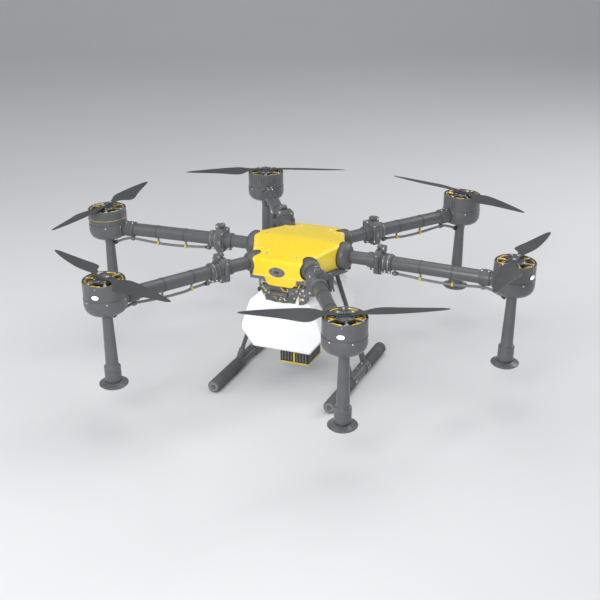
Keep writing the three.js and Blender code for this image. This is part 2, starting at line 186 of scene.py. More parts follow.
def moulded(name, col, col2, rough=0.5, grain=900.0, worn=(0.2, 0.2, 0.2), bump=0.18, spec=0.5, wear=0.5, coat=0.0):
    m = NT(name)
    cloud = m.noise(14, 5)
    fine = m.noise(grain, 3)
    base = m.mix(m.ramp(cloud, [(0.3, 0.0), (0.7, 1.0)]), col, col2)
    dust = m.ramp(m.noise(60, 8, 0.7), [(0.55, 0.0), (0.8, 0.35)])
    base = m.mix(dust, base, tuple(min(1, c * 1.6 + 0.02) for c in col))
    scratch = m.ramp(m.noise(260, 5, 0.75, stretch=(1, 0.12, 1)), [(0.66, 0.0), (0.72, 0.4)])
    base = m.mix(scratch, base, worn)
    base = m.mix(m.math("MULTIPLY", m.edge(), wear), base, worn)
    m.set(Base_Color=base, Roughness=m.ramp(m.noise(40, 6), [(0.3, rough - 0.07), (0.7, rough + 0.09)]))
    m.p.inputs["Specular IOR Level"].default_value = spec
    m.p.inputs["Coat Weight"].default_value = coat
    m.p.inputs["Coat Roughness"].default_value = 0.25
    m.set(Normal=m.bump(fine, bump, 0.0004))
    return m.mat


def make_materials():
    M = {}
    # canopy paint: warm yellow with slight mottling, fine orange peel, rubbed edges, a few ochre scuffs
    m = NT("yellow_paint")
    base = m.mix(m.ramp(m.noise(6, 4), [(0.3, 0.0), (0.7, 1.0)]), (0.89, 0.635, 0.006), (0.92, 0.675, 0.010))
    scuff = m.ramp(m.noise(55, 9, 0.72), [(0.66, 0.0), (0.74, 0.55)])
    base = m.mix(scuff, base, (0.72, 0.34, 0.02))
    streak = m.ramp(m.noise(180, 6, 0.7, stretch=(1, 0.1, 1)), [(0.68, 0.0), (0.74, 0.5)])
    base = m.mix(streak, base, (0.93, 0.82, 0.33))
    base = m.mix(m.math("MULTIPLY", m.edge(0.53, 0.66), 0.6), base, (0.95, 0.86, 0.35))
    m.set(Base_Color=base, Roughness=m.ramp(m.noise(30, 6), [(0.3, 0.26), (0.7, 0.38)]))
    m.p.inputs["Coat Weight"].default_value = 0.35
    m.p.inputs["Coat Roughness"].default_value = 0.12
    m.set(Normal=m.bump(m.noise(420, 2), 0.06, 0.0004))
    M["yellow"] = m.mat
    # tank: white blow-moulded plastic, faintly translucent
    m = NT("white_tank_plastic")
    base = m.mix(m.ramp(m.noise(4, 3), [(0.3, 0.0), (0.7, 1.0)]), (0.91, 0.915, 0.905), (0.86, 0.87, 0.86))
    stain = m.ramp(m.noise(28, 8, 0.7), [(0.62, 0.0), (0.82, 0.22)])
    base = m.mix(stain, base, (0.75, 0.73, 0.62))
    m.set(Base_Color=base, Roughness=m.ramp(m.noise(22, 6), [(0.3, 0.3), (0.7, 0.44)]))
    m.p.inputs["Subsurface Weight"].default_value = 0.25
    m.p.inputs["Subsurface Radius"].default_value = (0.02, 0.02, 0.018)
    m.p.inputs["Subsurface Scale"].default_value = 0.5
    m.p.inputs["Coat Weight"].default_value = 0.2
    m.p.inputs["Coat Roughness"].default_value = 0.2
    m.set(Normal=m.bump(m.noise(300, 3), 0.08, 0.0004))
    M["tank"] = m.mat
    M["dark"] = moulded("dark_moulding", (0.075, 0.077, 0.081), (0.098, 0.101, 0.105), 0.44, worn=(0.22, 0.225, 0.23))
    M["pod"] = moulded("pod_shell", (0.085, 0.088, 0.092), (0.105, 0.108, 0.112), 0.34, 1400, worn=(0.25, 0.26, 0.26), bump=0.08, coat=0.25)
    M["black"] = moulded("black_plastic", (0.018, 0.018, 0.019), (0.028, 0.028, 0.030), 0.5, worn=(0.11, 0.11, 0.11))
    M["foam"] = moulded("skid_foam", (0.095, 0.097, 0.100), (0.125, 0.127, 0.130), 0.82, 420, worn=(0.15, 0.15, 0.15), bump=0.55, spec=0.25)
    M["battery"] = moulded("battery_case", (0.080, 0.081, 0.085), (0.135, 0.136, 0.140), 0.52, 700, worn=(0.30, 0.30, 0.29), bump=0.3)
    # blades: fibre-filled nylon with grain along the span
    m = NT("blade_composite")
    fib = m.noise(900, 4, 0.6, src=m.coord("UV"), stretch=(0.03, 1, 1))
    cl = m.noise(9, 4)
    base = m.mix(m.ramp(fib, [(0.35, 0.0), (0.7, 1.0)]), (0.034, 0.035, 0.037), (0.058, 0.060, 0.063))
    base = m.mix(m.ramp(cl, [(0.4, 0.0), (0.75, 0.5)]), base, (0.070, 0.072, 0.074))
    base = m.mix(m.math("MULTIPLY", m.edge(0.53, 0.7), 0.5), base, (0.16, 0.16, 0.16))
    m.set(Base_Color=base, Roughness=m.ramp(fib, [(0.3, 0.46), (0.7, 0.6)]), Normal=m.bump(fib, 0.12, 0.0003))
    M["blade"] = m.mat
    # carbon tube: 2x2 twill from the tube's own unrolled coordinates, in metres
    m = NT("carbon_tube")
    sep = m.n("ShaderNodeSeparateXYZ")
    m.l(m.coord("UV"), sep.inputs[0])
    u = m.math("MULTIPLY", sep.outputs[0], 1 / 0.0022)
    v = m.math("MULTIPLY", sep.outputs[1], 1 / 0.0022)
    fu, fv = m.math("FLOOR", u), m.math("FLOOR", v)
    tw = m.math("MODULO", m.math("ADD", m.math("ADD", fu, fv), 4000.0), 4.0)
    over = m.math("LESS_THAN", tw, 1.5)
    du = m.math("SUBTRACT", m.math("FRACT", u), 0.5)
    dv = m.math("SUBTRACT", m.math("FRACT", v), 0.5)
    hu = m.math("SUBTRACT", 1.0, m.math("MULTIPLY", m.math("MULTIPLY", du, du), 3.2))
    hv = m.math("SUBTRACT", 1.0, m.math("MULTIPLY", m.math("MULTIPLY", dv, dv), 3.2))
    h = m.math("ADD", m.math("MULTIPLY", over, hu), m.math("MULTIPLY", m.math("SUBTRACT", 1.0, over), hv))
    base = m.mix(over, (0.066, 0.069, 0.072), (0.100, 0.103, 0.107))
    base = m.mix(m.ramp(m.noise(25, 6, 0.7), [(0.45, 0.0), (0.8, 0.5)]), base, (0.11, 0.113, 0.116))
    m.set(Base_Color=base, Roughness=m.ramp(m.noise(35, 5), [(0.3, 0.34), (0.7, 0.46)]), Normal=m.bump(h, 0.22, 0.0003))
    m.p.inputs["Coat Weight"].default_value = 0.3
    m.p.inputs["Coat Roughness"].default_value = 0.3
    M["carbon"] = m.mat
    # anodised and turned metal
    m = NT("motor_metal")
    ring = m.noise(1500, 2, 0.5, stretch=(1, 1, 0.02))
    base = m.mix(m.ramp(m.noise(60, 6), [(0.3, 0.0), (0.7, 1.0)]), (0.085, 0.087, 0.090), (0.16, 0.162, 0.165))
    base = m.mix(m.math("MULTIPLY", m.edge(0.52, 0.6), 0.8), base, (0.5, 0.5, 0.5))
    m.set(Base_Color=base, Metallic=0.85, Roughness=m.ramp(ring, [(0.3, 0.3), (0.7, 0.44)]))
    M["metal"] = m.mat
    m = NT("steel_fastener")
    base = m.mix(m.ramp(m.noise(300, 5), [(0.3, 0.0), (0.7, 1.0)]), (0.58, 0.58, 0.59), (0.74, 0.74, 0.74))
    m.set(Base_Color=base, Metallic=1.0, Roughness=m.ramp(m.noise(500, 4), [(0.3, 0.16), (0.7, 0.32)]))
    M["steel"] = m.mat
    m = NT("gold_anodised")
    base = m.mix(m.ramp(m.noise(120, 6), [(0.3, 0.0), (0.7, 1.0)]), (0.83, 0.52, 0.045), (0.93, 0.70, 0.12))
    base = m.mix(m.ramp(m.noise(60, 7, 0.7), [(0.55, 0.0), (0.7, 0.7)]), base, (0.30, 0.27, 0.10))
    m.set(Base_Color=base, Metallic=0.75, Roughness=m.ramp(m.noise(200, 4), [(0.3, 0.25), (0.7, 0.42)]))
    M["gold"] = m.mat
    m = NT("enamelled_copper")
    turns = m.noise(1400, 2, 0.5, stretch=(0.1, 0.1, 1))
    base = m.mix(m.ramp(turns, [(0.35, 0.0), (0.65, 1.0)]), (0.50, 0.27, 0.045), (0.88, 0.60, 0.14))
    m.set(Base_Color=base, Metallic=0.6, Roughness=m.ramp(turns, [(0.3, 0.25), (0.7, 0.4)]), Normal=m.bump(turns, 0.5, 0.0006))
    M["copper"] = m.mat
    m = NT("yellow_plastic")
    base = m.mix(m.ramp(m.noise(80, 6, 0.7), [(0.4, 0.0), (0.7, 1.0)]), (0.80, 0.60, 0.03), (0.55, 0.42, 0.06))
    m.set(Base_Color=base, Roughness=m.ramp(m.noise(90, 4), [(0.3, 0.36), (0.7, 0.5)]), Normal=m.bump(m.noise(700, 3), 0.1, 0.0003))
    M["trim"] = m.mat
    m = NT("hose_rubber")
    base = m.mix(m.ramp(m.noise(30, 5), [(0.3, 0.0), (0.7, 1.0)]), (0.15, 0.155, 0.16), (0.22, 0.225, 0.23))
    m.set(Base_Color=base, Roughness=m.ramp(m.noise(90, 5), [(0.3, 0.3), (0.7, 0.45)]), Normal=m.bump(m.noise(600, 3), 0.1, 0.0003))
    m.p.inputs["Subsurface Weight"].default_value = 0.1
    m.p.inputs["Subsurface Radius"].default_value = (0.004, 0.004, 0.004)
    M["hose"] = m.mat
    # lamp lens: a frosted white window; its emission glow is a painted highlight
    m = NT("lens_glow_painted_highlight")
    rings = m.noise(900, 3)
    m.set(Base_Color=m.mix(m.ramp(rings, [(0.3, 0.0), (0.7, 1.0)]), (0.95, 0.95, 0.95), (0.88, 0.89, 0.9)), Roughness=m.ramp(rings, [(0.3, 0.08), (0.7, 0.18)]))
    # painted highlight: the lens emits light in place of a glint on the pod
    m.p.inputs["Emission Color"].default_value = (1, 1, 1, 1)
    m.p.inputs["Emission Strength"].default_value = 0.9
    M["lens"] = m.mat
    m = NT("grey_badge")
    base = m.mix(m.ramp(m.noise(90, 6), [(0.35, 0.0), (0.65, 1.0)]), (0.10, 0.105, 0.115), (0.24, 0.25, 0.265))
    m.set(Base_Color=base, Metallic=0.35, Roughness=m.ramp(m.noise(120, 5), [(0.3, 0.28), (0.7, 0.42)]))
    M["badge"] = m.mat
    return M


MAT = make_materials()
MAT["cap"] = moulded("sleeve_end", (0.17, 0.175, 0.18), (0.22, 0.225, 0.23), 0.5, 700.0)


# ------------------------------------------------------------------ mesh helpers, local shapes in millimetres
class Part:
    """One visible piece made of several closed shells."""

    def __init__(self):
        self.v, self.f, self.m, self.s, self.uv = [], [], [], [], []
        self.mats = []

    def add(self, verts, faces, mat, smooth=True, uvs=None, matrix=None):
        k = len(self.v)
        if matrix is not None:
            verts = [matrix @ Vector(p) for p in verts]
        self.v += [tuple(p) for p in verts]
        if mat not in self.mats:
            self.mats.append(mat)
        mi = self.mats.index(mat)
        for i, f in enumerate(faces):
            self.f.append([k + j for j in f])
            self.m.append(mi)
            self.s.append(smooth)
            self.uv.append(uvs[i] if uvs else None)
        return self

    def add_bm(self, bm, mat, matrix=None, smooth=True):
        bm.verts.ensure_lookup_table()
        bm.verts.index_update()
        self.add([v.co.copy() for v in bm.verts], [[v.index for v in f.verts] for f in bm.faces], mat, smooth, None, matrix)
        bm.free()
        return self

    def lathe(self, profile, mat, seg=56, matrix=None, axis="z", uv=None, cap=True):
        """A solid of revolution; a profile that starts and ends on the axis closes by itself."""
        prof = [(float(r), float(z)) for r, z in profile]
        verts, faces, uvs = [], [], []
        rings = []
        for r, z in prof:
            if r < 1e-6:
                rings.append([len(verts)])
                verts.append((0, 0, z))
            else:
                rings.append(list(range(len(verts), len(verts) + seg)))
                for i in range(seg):
                    a = 2 * math.pi * i / seg
                    verts.append((r * math.cos(a), r * math.sin(a), z))
        run = 0.0
        for k in range(len(prof) - 1):
            A, B = rings[k], rings[k + 1]
            d = math.hypot(prof[k + 1][0] - prof[k][0], prof[k + 1][1] - prof[k][1])
            rr = max(prof[k][0], prof[k + 1][0]) * MM
            for i in range(seg):
                j = (i + 1) % seg
                u0, u1 = 2 * math.pi * rr * i / seg, 2 * math.pi * rr * (i + 1) / seg
                v0, v1 = run * MM, (run + d) * MM
                if len(A) == 1 and len(B) == 1:
                    continue
                if len(A) == 1:
                    faces.append([A[0], B[j], B[i]]); uvs.append([(u0, v0), (u1, v1), (u0, v1)])
                elif len(B) == 1:
                    faces.append([A[i], A[j], B[0]]); uvs.append([(u0, v0), (u1, v0), (u0, v1)])
                else:
                    faces.append([A[i], A[j], B[j], B[i]]); uvs.append([(u0, v0), (u1, v0), (u1, v1), (u0, v1)])
            run += d
        # outwards
        vol = 0.0
        for f in faces:
            p = [Vector(verts[i]) for i in f]
            for q in range(1, len(p) - 1):
                vol += p[0].dot(p[q].cross(p[q + 1]))
        if vol < 0:
            faces = [list(reversed(f)) for f in faces]
            uvs = [list(reversed(w)) for w in uvs]
        if axis == "x":
            verts = [(z, x, y) for x, y, z in verts]
        return self.add(verts, faces, mat, True, uvs, matrix)

    def prism(self, outline, z0, z1, mat, bevel=0.0, seg=2, matrix=None):
        """A flat outline raised from z0 to z1, with rounded edges."""
        bm = bmesh.new()
        vs = [bm.verts.new((x, y, z0)) for x, y in outline]
        f = bm.faces.new(vs)
        ext = bmesh.ops.extrude_face_region(bm, geom=[f])
        up = [e for e in ext["geom"] if isinstance(e, bmesh.types.BMVert)]
        bmesh.ops.translate(bm, verts=up, vec=(0, 0, z1 - z0))
        bmesh.ops.recalc_face_normals(bm, faces=bm.faces)
        if bevel > 0:
            bmesh.ops.bevel(bm, geom=[e for e in bm.edges if e.calc_face_angle(0) > 0.35], offset=bevel, segments=seg, profile=0.5, affect="EDGES", clamp_overlap=True)
        return self.add_bm(bm, mat, matrix)

    def box(self, x0, x1, y0, y1, z0, z1, mat, bevel=1.0, seg=2, matrix=None):
        return self.prism([(x0, y0), (x1, y0), (x1, y1), (x0, y1)], z0, z1, mat, bevel, seg, matrix)

    def sweep(self, pts, r, mat, seg=14, matrix=None, radii=None):
        """A round bar along a line of points, with closed ends."""
        P = [Vector(p) for p in pts]
        n = len(P)
        T = []
        for i in range(n):
            a, b = P[max(0, i - 1)], P[min(n - 1, i + 1)]
            T.append((b - a).normalized())
        ref = Vector((0, 0, 1)) if abs(T[0].z) < 0.9 else Vector((1, 0, 0))
        N = (ref - T[0] * ref.dot(T[0])).normalized()
        verts, faces, uvs = [], [], []
        run = 0.0
        runs = []
        for i in range(n):
            N = (N - T[i] * N.dot(T[i])).normalized()
            B = T[i].cross(N)
            rr = radii[i] if radii else r
            for k in range(seg):
                a = 2 * math.pi * k / seg
                verts.append(P[i] + N * (rr * math.cos(a)) + B * (rr * math.sin(a)))
            if i:
                run += (P[i] - P[i - 1]).length
            runs.append(run)
        for i in range(n - 1):
            for k in range(seg):
                j = (k + 1) % seg
                faces.append([i * seg + k, i * seg + j, (i + 1) * seg + j, (i + 1) * seg + k])
                u0, u1 = 2 * math.pi * r * k / seg * MM, 2 * math.pi * r * (k + 1) / seg * MM
                uvs.append([(u0, runs[i] * MM), (u1, runs[i] * MM), (u1, runs[i + 1] * MM), (u0, runs[i + 1] * MM)])
        faces.append(list(reversed(range(seg)))); uvs.append([(0, 0)] * seg)
        faces.append([(n - 1) * seg + k for k in range(seg)]); uvs.append([(0, 0)] * seg)
        return self.add(verts, faces, mat, True, uvs, matrix)

    def bolt(self, at, direction, mat="steel", r=4.0, h=3.0, matrix=None, socket=True):
        """A cap screw head with a washer, standing on a face."""
        d = Vector(direction).normalized()
        q = d.to_track_quat("Z", "Y").to_matrix().to_4x4()
        m = Matrix.Translation(Vector(at)) @ q
        if matrix is not None:
            m = matrix @ m
        w = r * 1.45
        prof = [(0, -0.4), (w, -0.4), (w, 0.5), (w - 0.3, 0.8), (r, 0.8), (r, h - 0.5), (r - 0.5, h)]
        if socket:
            prof += [(r * 0.52, h), (r * 0.5, h - 0.3), (r * 0.5, h * 0.35), (0, h * 0.35)]
        else:
            prof += [(0, h + 0.2)]
        return self.lathe(prof, mat, 16, m)

    def object(self, name, body, replaces=(), slot=None, matrix=None, sharp=32):
        me = bpy.data.meshes.new(name)
        M4 = Matrix.Scale(MM, 4)
        if matrix is not None:
            M4 = matrix @ M4
        vs = np.array(self.v, float)
        A = np.array(M4)
        vs = vs @ A[:3, :3].T + A[:3, 3]
        me.from_pydata([tuple(p) for p in vs], [], self.f)
        uvl = me.uv_layers.new(name="UVMap")
        data = np.zeros((len(me.loops), 2), np.float32)
        for poly, uv in zip(me.polygons, self.uv):
            if uv:
                for li, w in zip(poly.loop_indices, uv):
                    data[li] = w
            else:
                n = poly.normal
                ax = max(range(3), key=lambda i: abs(n[i]))
                for li in poly.loop_indices:
                    c = me.vertices[me.loops[li].vertex_index].co
                    data[li] = (c[(ax + 1) % 3], c[(ax + 2) % 3])
        uvl.data.foreach_set("uv", data.ravel())
        for mt in self.mats:
            me.materials.append(MAT[mt])
        me.polygons.foreach_set("material_index", self.m)
        me.polygons.foreach_set("use_smooth", self.s)
        me.set_sharp_from_angle(angle=math.radians(sharp))
        me.update()
        ob = bpy.data.objects.new(name, me)
        COLL.objects.link(ob)
        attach(ob, body)
        if replaces:
            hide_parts(*replaces)
        return ob


def rounded(profile, radii, n=5):
    """Round the corners of an open polyline; radii has one value per inner point."""
    out = [profile[0]]
    for i in range(1, len(profile) - 1):
        a, b, c = Vector(profile[i - 1]), Vector(profile[i]), Vector(profile[i + 1])
        r = radii[min(i - 1, len(radii) - 1)] if isinstance(radii, (list, tuple)) else radii
        if r <= 0:
            out.append(tuple(b)); continue
        u, w = (a - b), (c - b)
        lu, lw = u.length, w.length
        u, w = u / lu, w / lw
        ang = math.acos(max(-1, min(1, u.dot(w))))
        if ang > math.pi - 0.05:
            out.append(tuple(b)); continue
        d = min(r / math.tan(ang / 2), 0.48 * lu, 0.48 * lw)
        rr = d * math.tan(ang / 2)
        p, q = b + u * d, b + w * d
        centre = b + (u + w).normalized() * (rr / math.sin(ang / 2))
        a0 = math.atan2(p.y - centre.y, p.x - centre.x)
        a1 = math.atan2(q.y - centre.y, q.x - centre.x)
        da = (a1 - a0 + math.pi) % (2 * math.pi) - math.pi
        for k in range(n + 1):
            t = a0 + da * k / n
            out.append((centre.x + rr * math.cos(t), centre.y + rr * math.sin(t)))
    out.append(profile[-1])
    return out


def rounded_loop(pts, r, n=5):
    """The same for a closed outline; every corner gives n + 1 points."""
    N = len(pts)
    out = []
    for i in range(N):
        a, b, c = (Vector(pts[(i + k) % N]) for k in (-1, 0, 1))
        rr = r[i] if isinstance(r, (list, tuple)) else r
        u, w = (a - b), (c - b)
        lu, lw = u.length, w.length
        u, w = u / lu, w / lw
        ang = math.acos(max(-1, min(1, u.dot(w))))
        d = min(rr / math.tan(ang / 2), 0.48 * lu, 0.48 * lw)
        rr = d * math.tan(ang / 2)
        centre = b + (u + w).normalized() * (rr / math.sin(ang / 2))
        p, q = b + u * d, b + w * d
        a0 = math.atan2(p.y - centre.y, p.x - centre.x)
        a1 = math.atan2(q.y - centre.y, q.x - centre.x)
        da = (a1 - a0 + math.pi) % (2 * math.pi) - math.pi
        for k in range(n + 1):
            t = a0 + da * k / n
            out.append((centre.x + rr * math.cos(t), centre.y + rr * math.sin(t)))
    return out


def catmull(pts, steps):
    P = [Vector(p) for p in pts]
    P = [P[0] * 2 - P[1]] + P + [P[-1] * 2 - P[-2]]
    out = []
    for i in range(1, len(P) - 2):
        for k in range(steps):
            t = k / steps
            a, b, c, d = P[i - 1], P[i], P[i + 1], P[i + 2]
            out.append(0.5 * ((2 * b) + (c - a) * t + (2 * a - 5 * b + 4 * c - d) * t * t + (3 * b - a - 3 * c + d) * t ** 3))
    out.append(P[-2])
    return out


def temp(name, verts, faces):
    me = bpy.data.meshes.new(name)
    me.from_pydata(verts, [], faces)
    me.update()
    ob = bpy.data.objects.new(name, me)
    COLL.objects.link(ob)
    return ob


def baked(ob):
    """The mesh with its modifiers applied, as verts and faces; the object is removed."""
    dg = bpy.context.evaluated_depsgraph_get()
    dg.update()
    me = bpy.data.meshes.new_from_object(ob.evaluated_get(dg))
    v = [tuple(p.co) for p in me.vertices]
    f = [list(p.vertices) for p in me.polygons]
    bpy.data.objects.remove(ob)
    return v, f


def cutters(ob, tools):
    for t in tools:
        m = ob.modifiers.new("cut", "BOOLEAN")
        m.operation = "DIFFERENCE"
        m.solver = "EXACT"
        m.object = t
    res = baked(ob)
    for t in tools:
        bpy.data.objects.remove(t)
    return res


def cyl_between(a, b, r, seg=40):
    p = Part()
    p.sweep([a, b], r, "dark", seg)
    return temp("tool", p.v, p.f)


# ------------------------------------------------------------------ frames of the machine
HUB = Vector((0, 0, JOINTS["fold_right"]["pos_m"][2]))
HZ = HUB.z / MM
# the body's own level, a little below the arms' axis
BZ = 496.0
BODY = Vector((0, 0, BZ * MM))


def arm_frame(name):
    p = Vector(JOINTS["rotor_spin_" + name]["pos_m"])
    ang = math.atan2(p.y, p.x)
    return Matrix.Translation(HUB) @ Matrix.Rotation(ang, 4, "Z"), ang


BLADE_Z = 88.0


def pod_frame(name):
    j = JOINTS["rotor_spin_" + name]
    P, A = Vector(j["pos_m"]), Vector(j["axis"]).normalized()
    ang = math.atan2(P.y, P.x)
    X = Vector((math.cos(ang), math.sin(ang), 0))
    X = (X - A * X.dot(A)).normalized()
    Y = A.cross(X)
    O = P - A * (BLADE_Z * MM)
    m = Matrix(((X.x, Y.x, A.x, O.x), (X.y, Y.y, A.y, O.y), (X.z, Y.z, A.z, O.z), (0, 0, 0, 1)))
    return m, ang


def blade_dir(node, pivot, axis):
    """The direction from a blade's pivot to its tip, its length in mm, and the side of its wide edge."""
    co = np.array([v.co for v in NODES[node].data.vertices], float) - np.array(pivot)
    A = np.array(axis)
    co = co - np.outer(co @ A, A)
    tip = co[np.argmax((co ** 2).sum(1))]
    L = float(np.linalg.norm(tip))
    d = tip / L
    y = np.cross(A, d)
    s = co @ y
    return Vector(d), L / MM, (1 if abs(s.max()) > abs(s.min()) else -1)


GAP = 0.35
R_ARM = Vector(JOINTS["rotor_spin_right"]["pos_m"][:2]).length / MM - 3.4
DROOP = math.radians(1.2)


# ------------------------------------------------------------------ canopy
def hexagon(fx, sx, fy, sy):
    return [(-fx, -fy), (fx, -fy), (sx, -sy), (sx, sy), (fx, fy), (-fx, fy), (-sx, sy), (-sx, -sy)]


def boot(side, grow=0.0):
    """The domed root of an arm, as (radius, distance from the hub); grow gives the opening round it."""
    R, full, depth = (53.8, 178.0, 29.0) if side else (38.2, 205.0, 56.0)
    pts = []
    for k in range(11):
        t = math.pi / 2 * k / 10
        pts.append(((R + grow) * math.sin(t), full - (depth + grow) * math.cos(t)))
    return pts


def build_canopy():
    lo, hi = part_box("canopy")
    top = hi.z / MM - BZ
    base = rounded_loop(hexagon(97, 174, 218, 20), [18, 18, 16, 16, 18, 18, 16, 16], 5)
    n = len(base)

    def roof(x, y):
        # a soft cross ridge; the lid falls to the front and to the rear, and a little to the sides
        d = math.sqrt(y * y + 24 * 24) - 24
        return top - 0.6 - 22.0 * d / 195.0 - 2.2 * (x / 174.0) ** 2

    def inset(d):
        out = []
        for i in range(n):
            a, b, c = Vector(base[i - 1]), Vector(base[i]), Vector(base[(i + 1) % n])
            t = (c - a).normalized()
            nn = Vector((-t.y, t.x))
            if nn.dot(-b) < 0:
                nn = -nn
            out.append((b.x + nn.x * d, b.y + nn.y * d))
        return out
    rows = []
    R0 = 8.5
    for k in range(7):
        rows.append([(x, y, -26 + (roof(x, y) - R0 + 26) * k / 6) for x, y in base])
    for k in range(1, 7):
        t = math.pi / 2 * k / 6
        ring = inset(R0 * (1 - math.cos(t)))
        rows.append([(x, y, roof(x, y) - R0 * (1 - math.sin(t))) for x, y in ring])
    edge = inset(R0)
    for sc in (0.9, 0.75, 0.6, 0.45, 0.3, 0.15):
        rows.append([(x * sc, y * sc, roof(x * sc, y * sc)) for x, y in edge])
    V = [p for row in rows for p in row]
    F = []
    for i in range(len(rows) - 1):
        for k in range(n):
            j = (k + 1) % n
            F.append([i * n + k, i * n + j, (i + 1) * n + j, (i + 1) * n + k])
    c = len(V)
    V.append((0, 0, roof(0, 0)))
    F += [[(len(rows) - 1) * n + k, (len(rows) - 1) * n + (k + 1) % n, c] for k in range(n)]
    outer = temp("outer", V, F)
    bvh = BVHTree.FromPolygons([Vector(p) for p in V], F)
    m = outer.modifiers.new("shell", "SOLIDIFY")
    m.thickness = 3.2
    m.offset = -1
    tools, lips = [], []
    for name in ARMS:
        _, ang = arm_frame(name)
        side = name in ("left", "right")
        r = 56.3 if side else 40.6
        s0 = 147
        d = Vector((math.cos(ang), math.sin(ang), 0))
        tool = Part()
        tool.lathe(boot(side, r - (53.8 if side else 38.2)) + [(r, 330), (0, 330)], "dark", 48, Matrix.Translation((0, 0, 10)) @ Matrix.Rotation(ang, 4, "Z"), "x")
        tools.append(temp("tool", tool.v, tool.f))
        # the rolled lip round each arch
        nrm = Vector((-d.y, d.x, 0))
        line = []
        for k in range(0, 49):
            th = math.radians(-24 + 228 * k / 48)
            off = nrm * (math.cos(th) * (r + 1.0)) + Vector((0, 0, 10 + math.sin(th) * (r + 1.0)))
            hit = bvh.ray_cast(off + d * 400, -d)
            if hit[0] is not None and hit[0].z > -25.5 and hit[0].dot(d) > s0 + 3:
                line.append(hit[0] - d * 0.6)
        if len(line) > 6:
            lips.append(line)
    v, f = cutters(outer, tools)
    P = Part()
    P.add(v, f, "yellow")
    for line in lips:
        # break where the arch leaves the shell
        seg = [line[0]]
        for a, b in zip(line, line[1:]):
            if (b - a).length > 22:
                if len(seg) > 4:
                    P.sweep(seg, 1.7, "yellow", 8)
                seg = []
            seg.append(b)
        if len(seg) > 4:
            P.sweep(seg, 1.7, "yellow", 8)
    # chin: a lip that hangs below the front wall, set back from it
    chin = [(-60, -20), (-52, -34), (-46, -48), (-41, -56.5), (-32, -60.2), (-10, -61.2), (44, -61.2), (56, -59.5), (66, -50), (72, -36), (76, -20)]
    rot = Matrix.Rotation(math.pi / 2, 4, "X")
    P.prism([(x, z) for x, z in chin], 206, 209.2, "yellow", 0.9, 2, rot)
    P.box(-76, 76, -217, -205.8, -26, -21.5, "yellow", 1.2)
    # studs that hold the shell
    for x, y in ((-60, -168), (60, -168), (-60, 168), (60, 168), (-128, 0), (128, 0)):
        hit = bvh.ray_cast(Vector((x, y, 120)), Vector((0, 0, -1)))
        P.bolt(hit[0], hit[1], "steel", 3.6, 1.6)
    # badge: a plain oval with a rim
    bd = Matrix.Translation((0, -218, -4)) @ Matrix.Rotation(math.pi / 2, 4, "X") @ Matrix.Diagonal((30.5, 18, 1, 1))
    P.lathe([(0, -1.0), (1.0, -1.0), (1.0, 1.6), (0.96, 2.1), (0.86, 2.1), (0.82, 1.2), (0, 1.0)], "badge", 48, bd)
    P.lathe([(0, 0.9), (0.5, 0.9), (0.46, 1.9), (0.30, 2.1), (0, 2.2)], "metal", 40, bd)
    P.object("canopy_shell", "fuselage", ["canopy"], "yellow_shell", Matrix.Translation(BODY))


# ------------------------------------------------------------------ tank, battery, pump
STRUTS = [(-38, -58), (84, 94)]


def filler_frame():
    """The filler's mouth on the rear of the tank, from the cap's own joint."""
    j = JOINTS["tank_cap_turn"]
    p, a = Vector(j["pos_m"]), Vector(j["axis"]).normalized()
    X = Vector((1, 0, 0))
    Y = a.cross(X)
    o = (p - BODY) / MM
    return Matrix(((X.x, Y.x, a.x, o.x), (X.y, Y.y, a.y, o.y), (X.z, Y.z, a.z, o.z), (0, 0, 0, 1)))


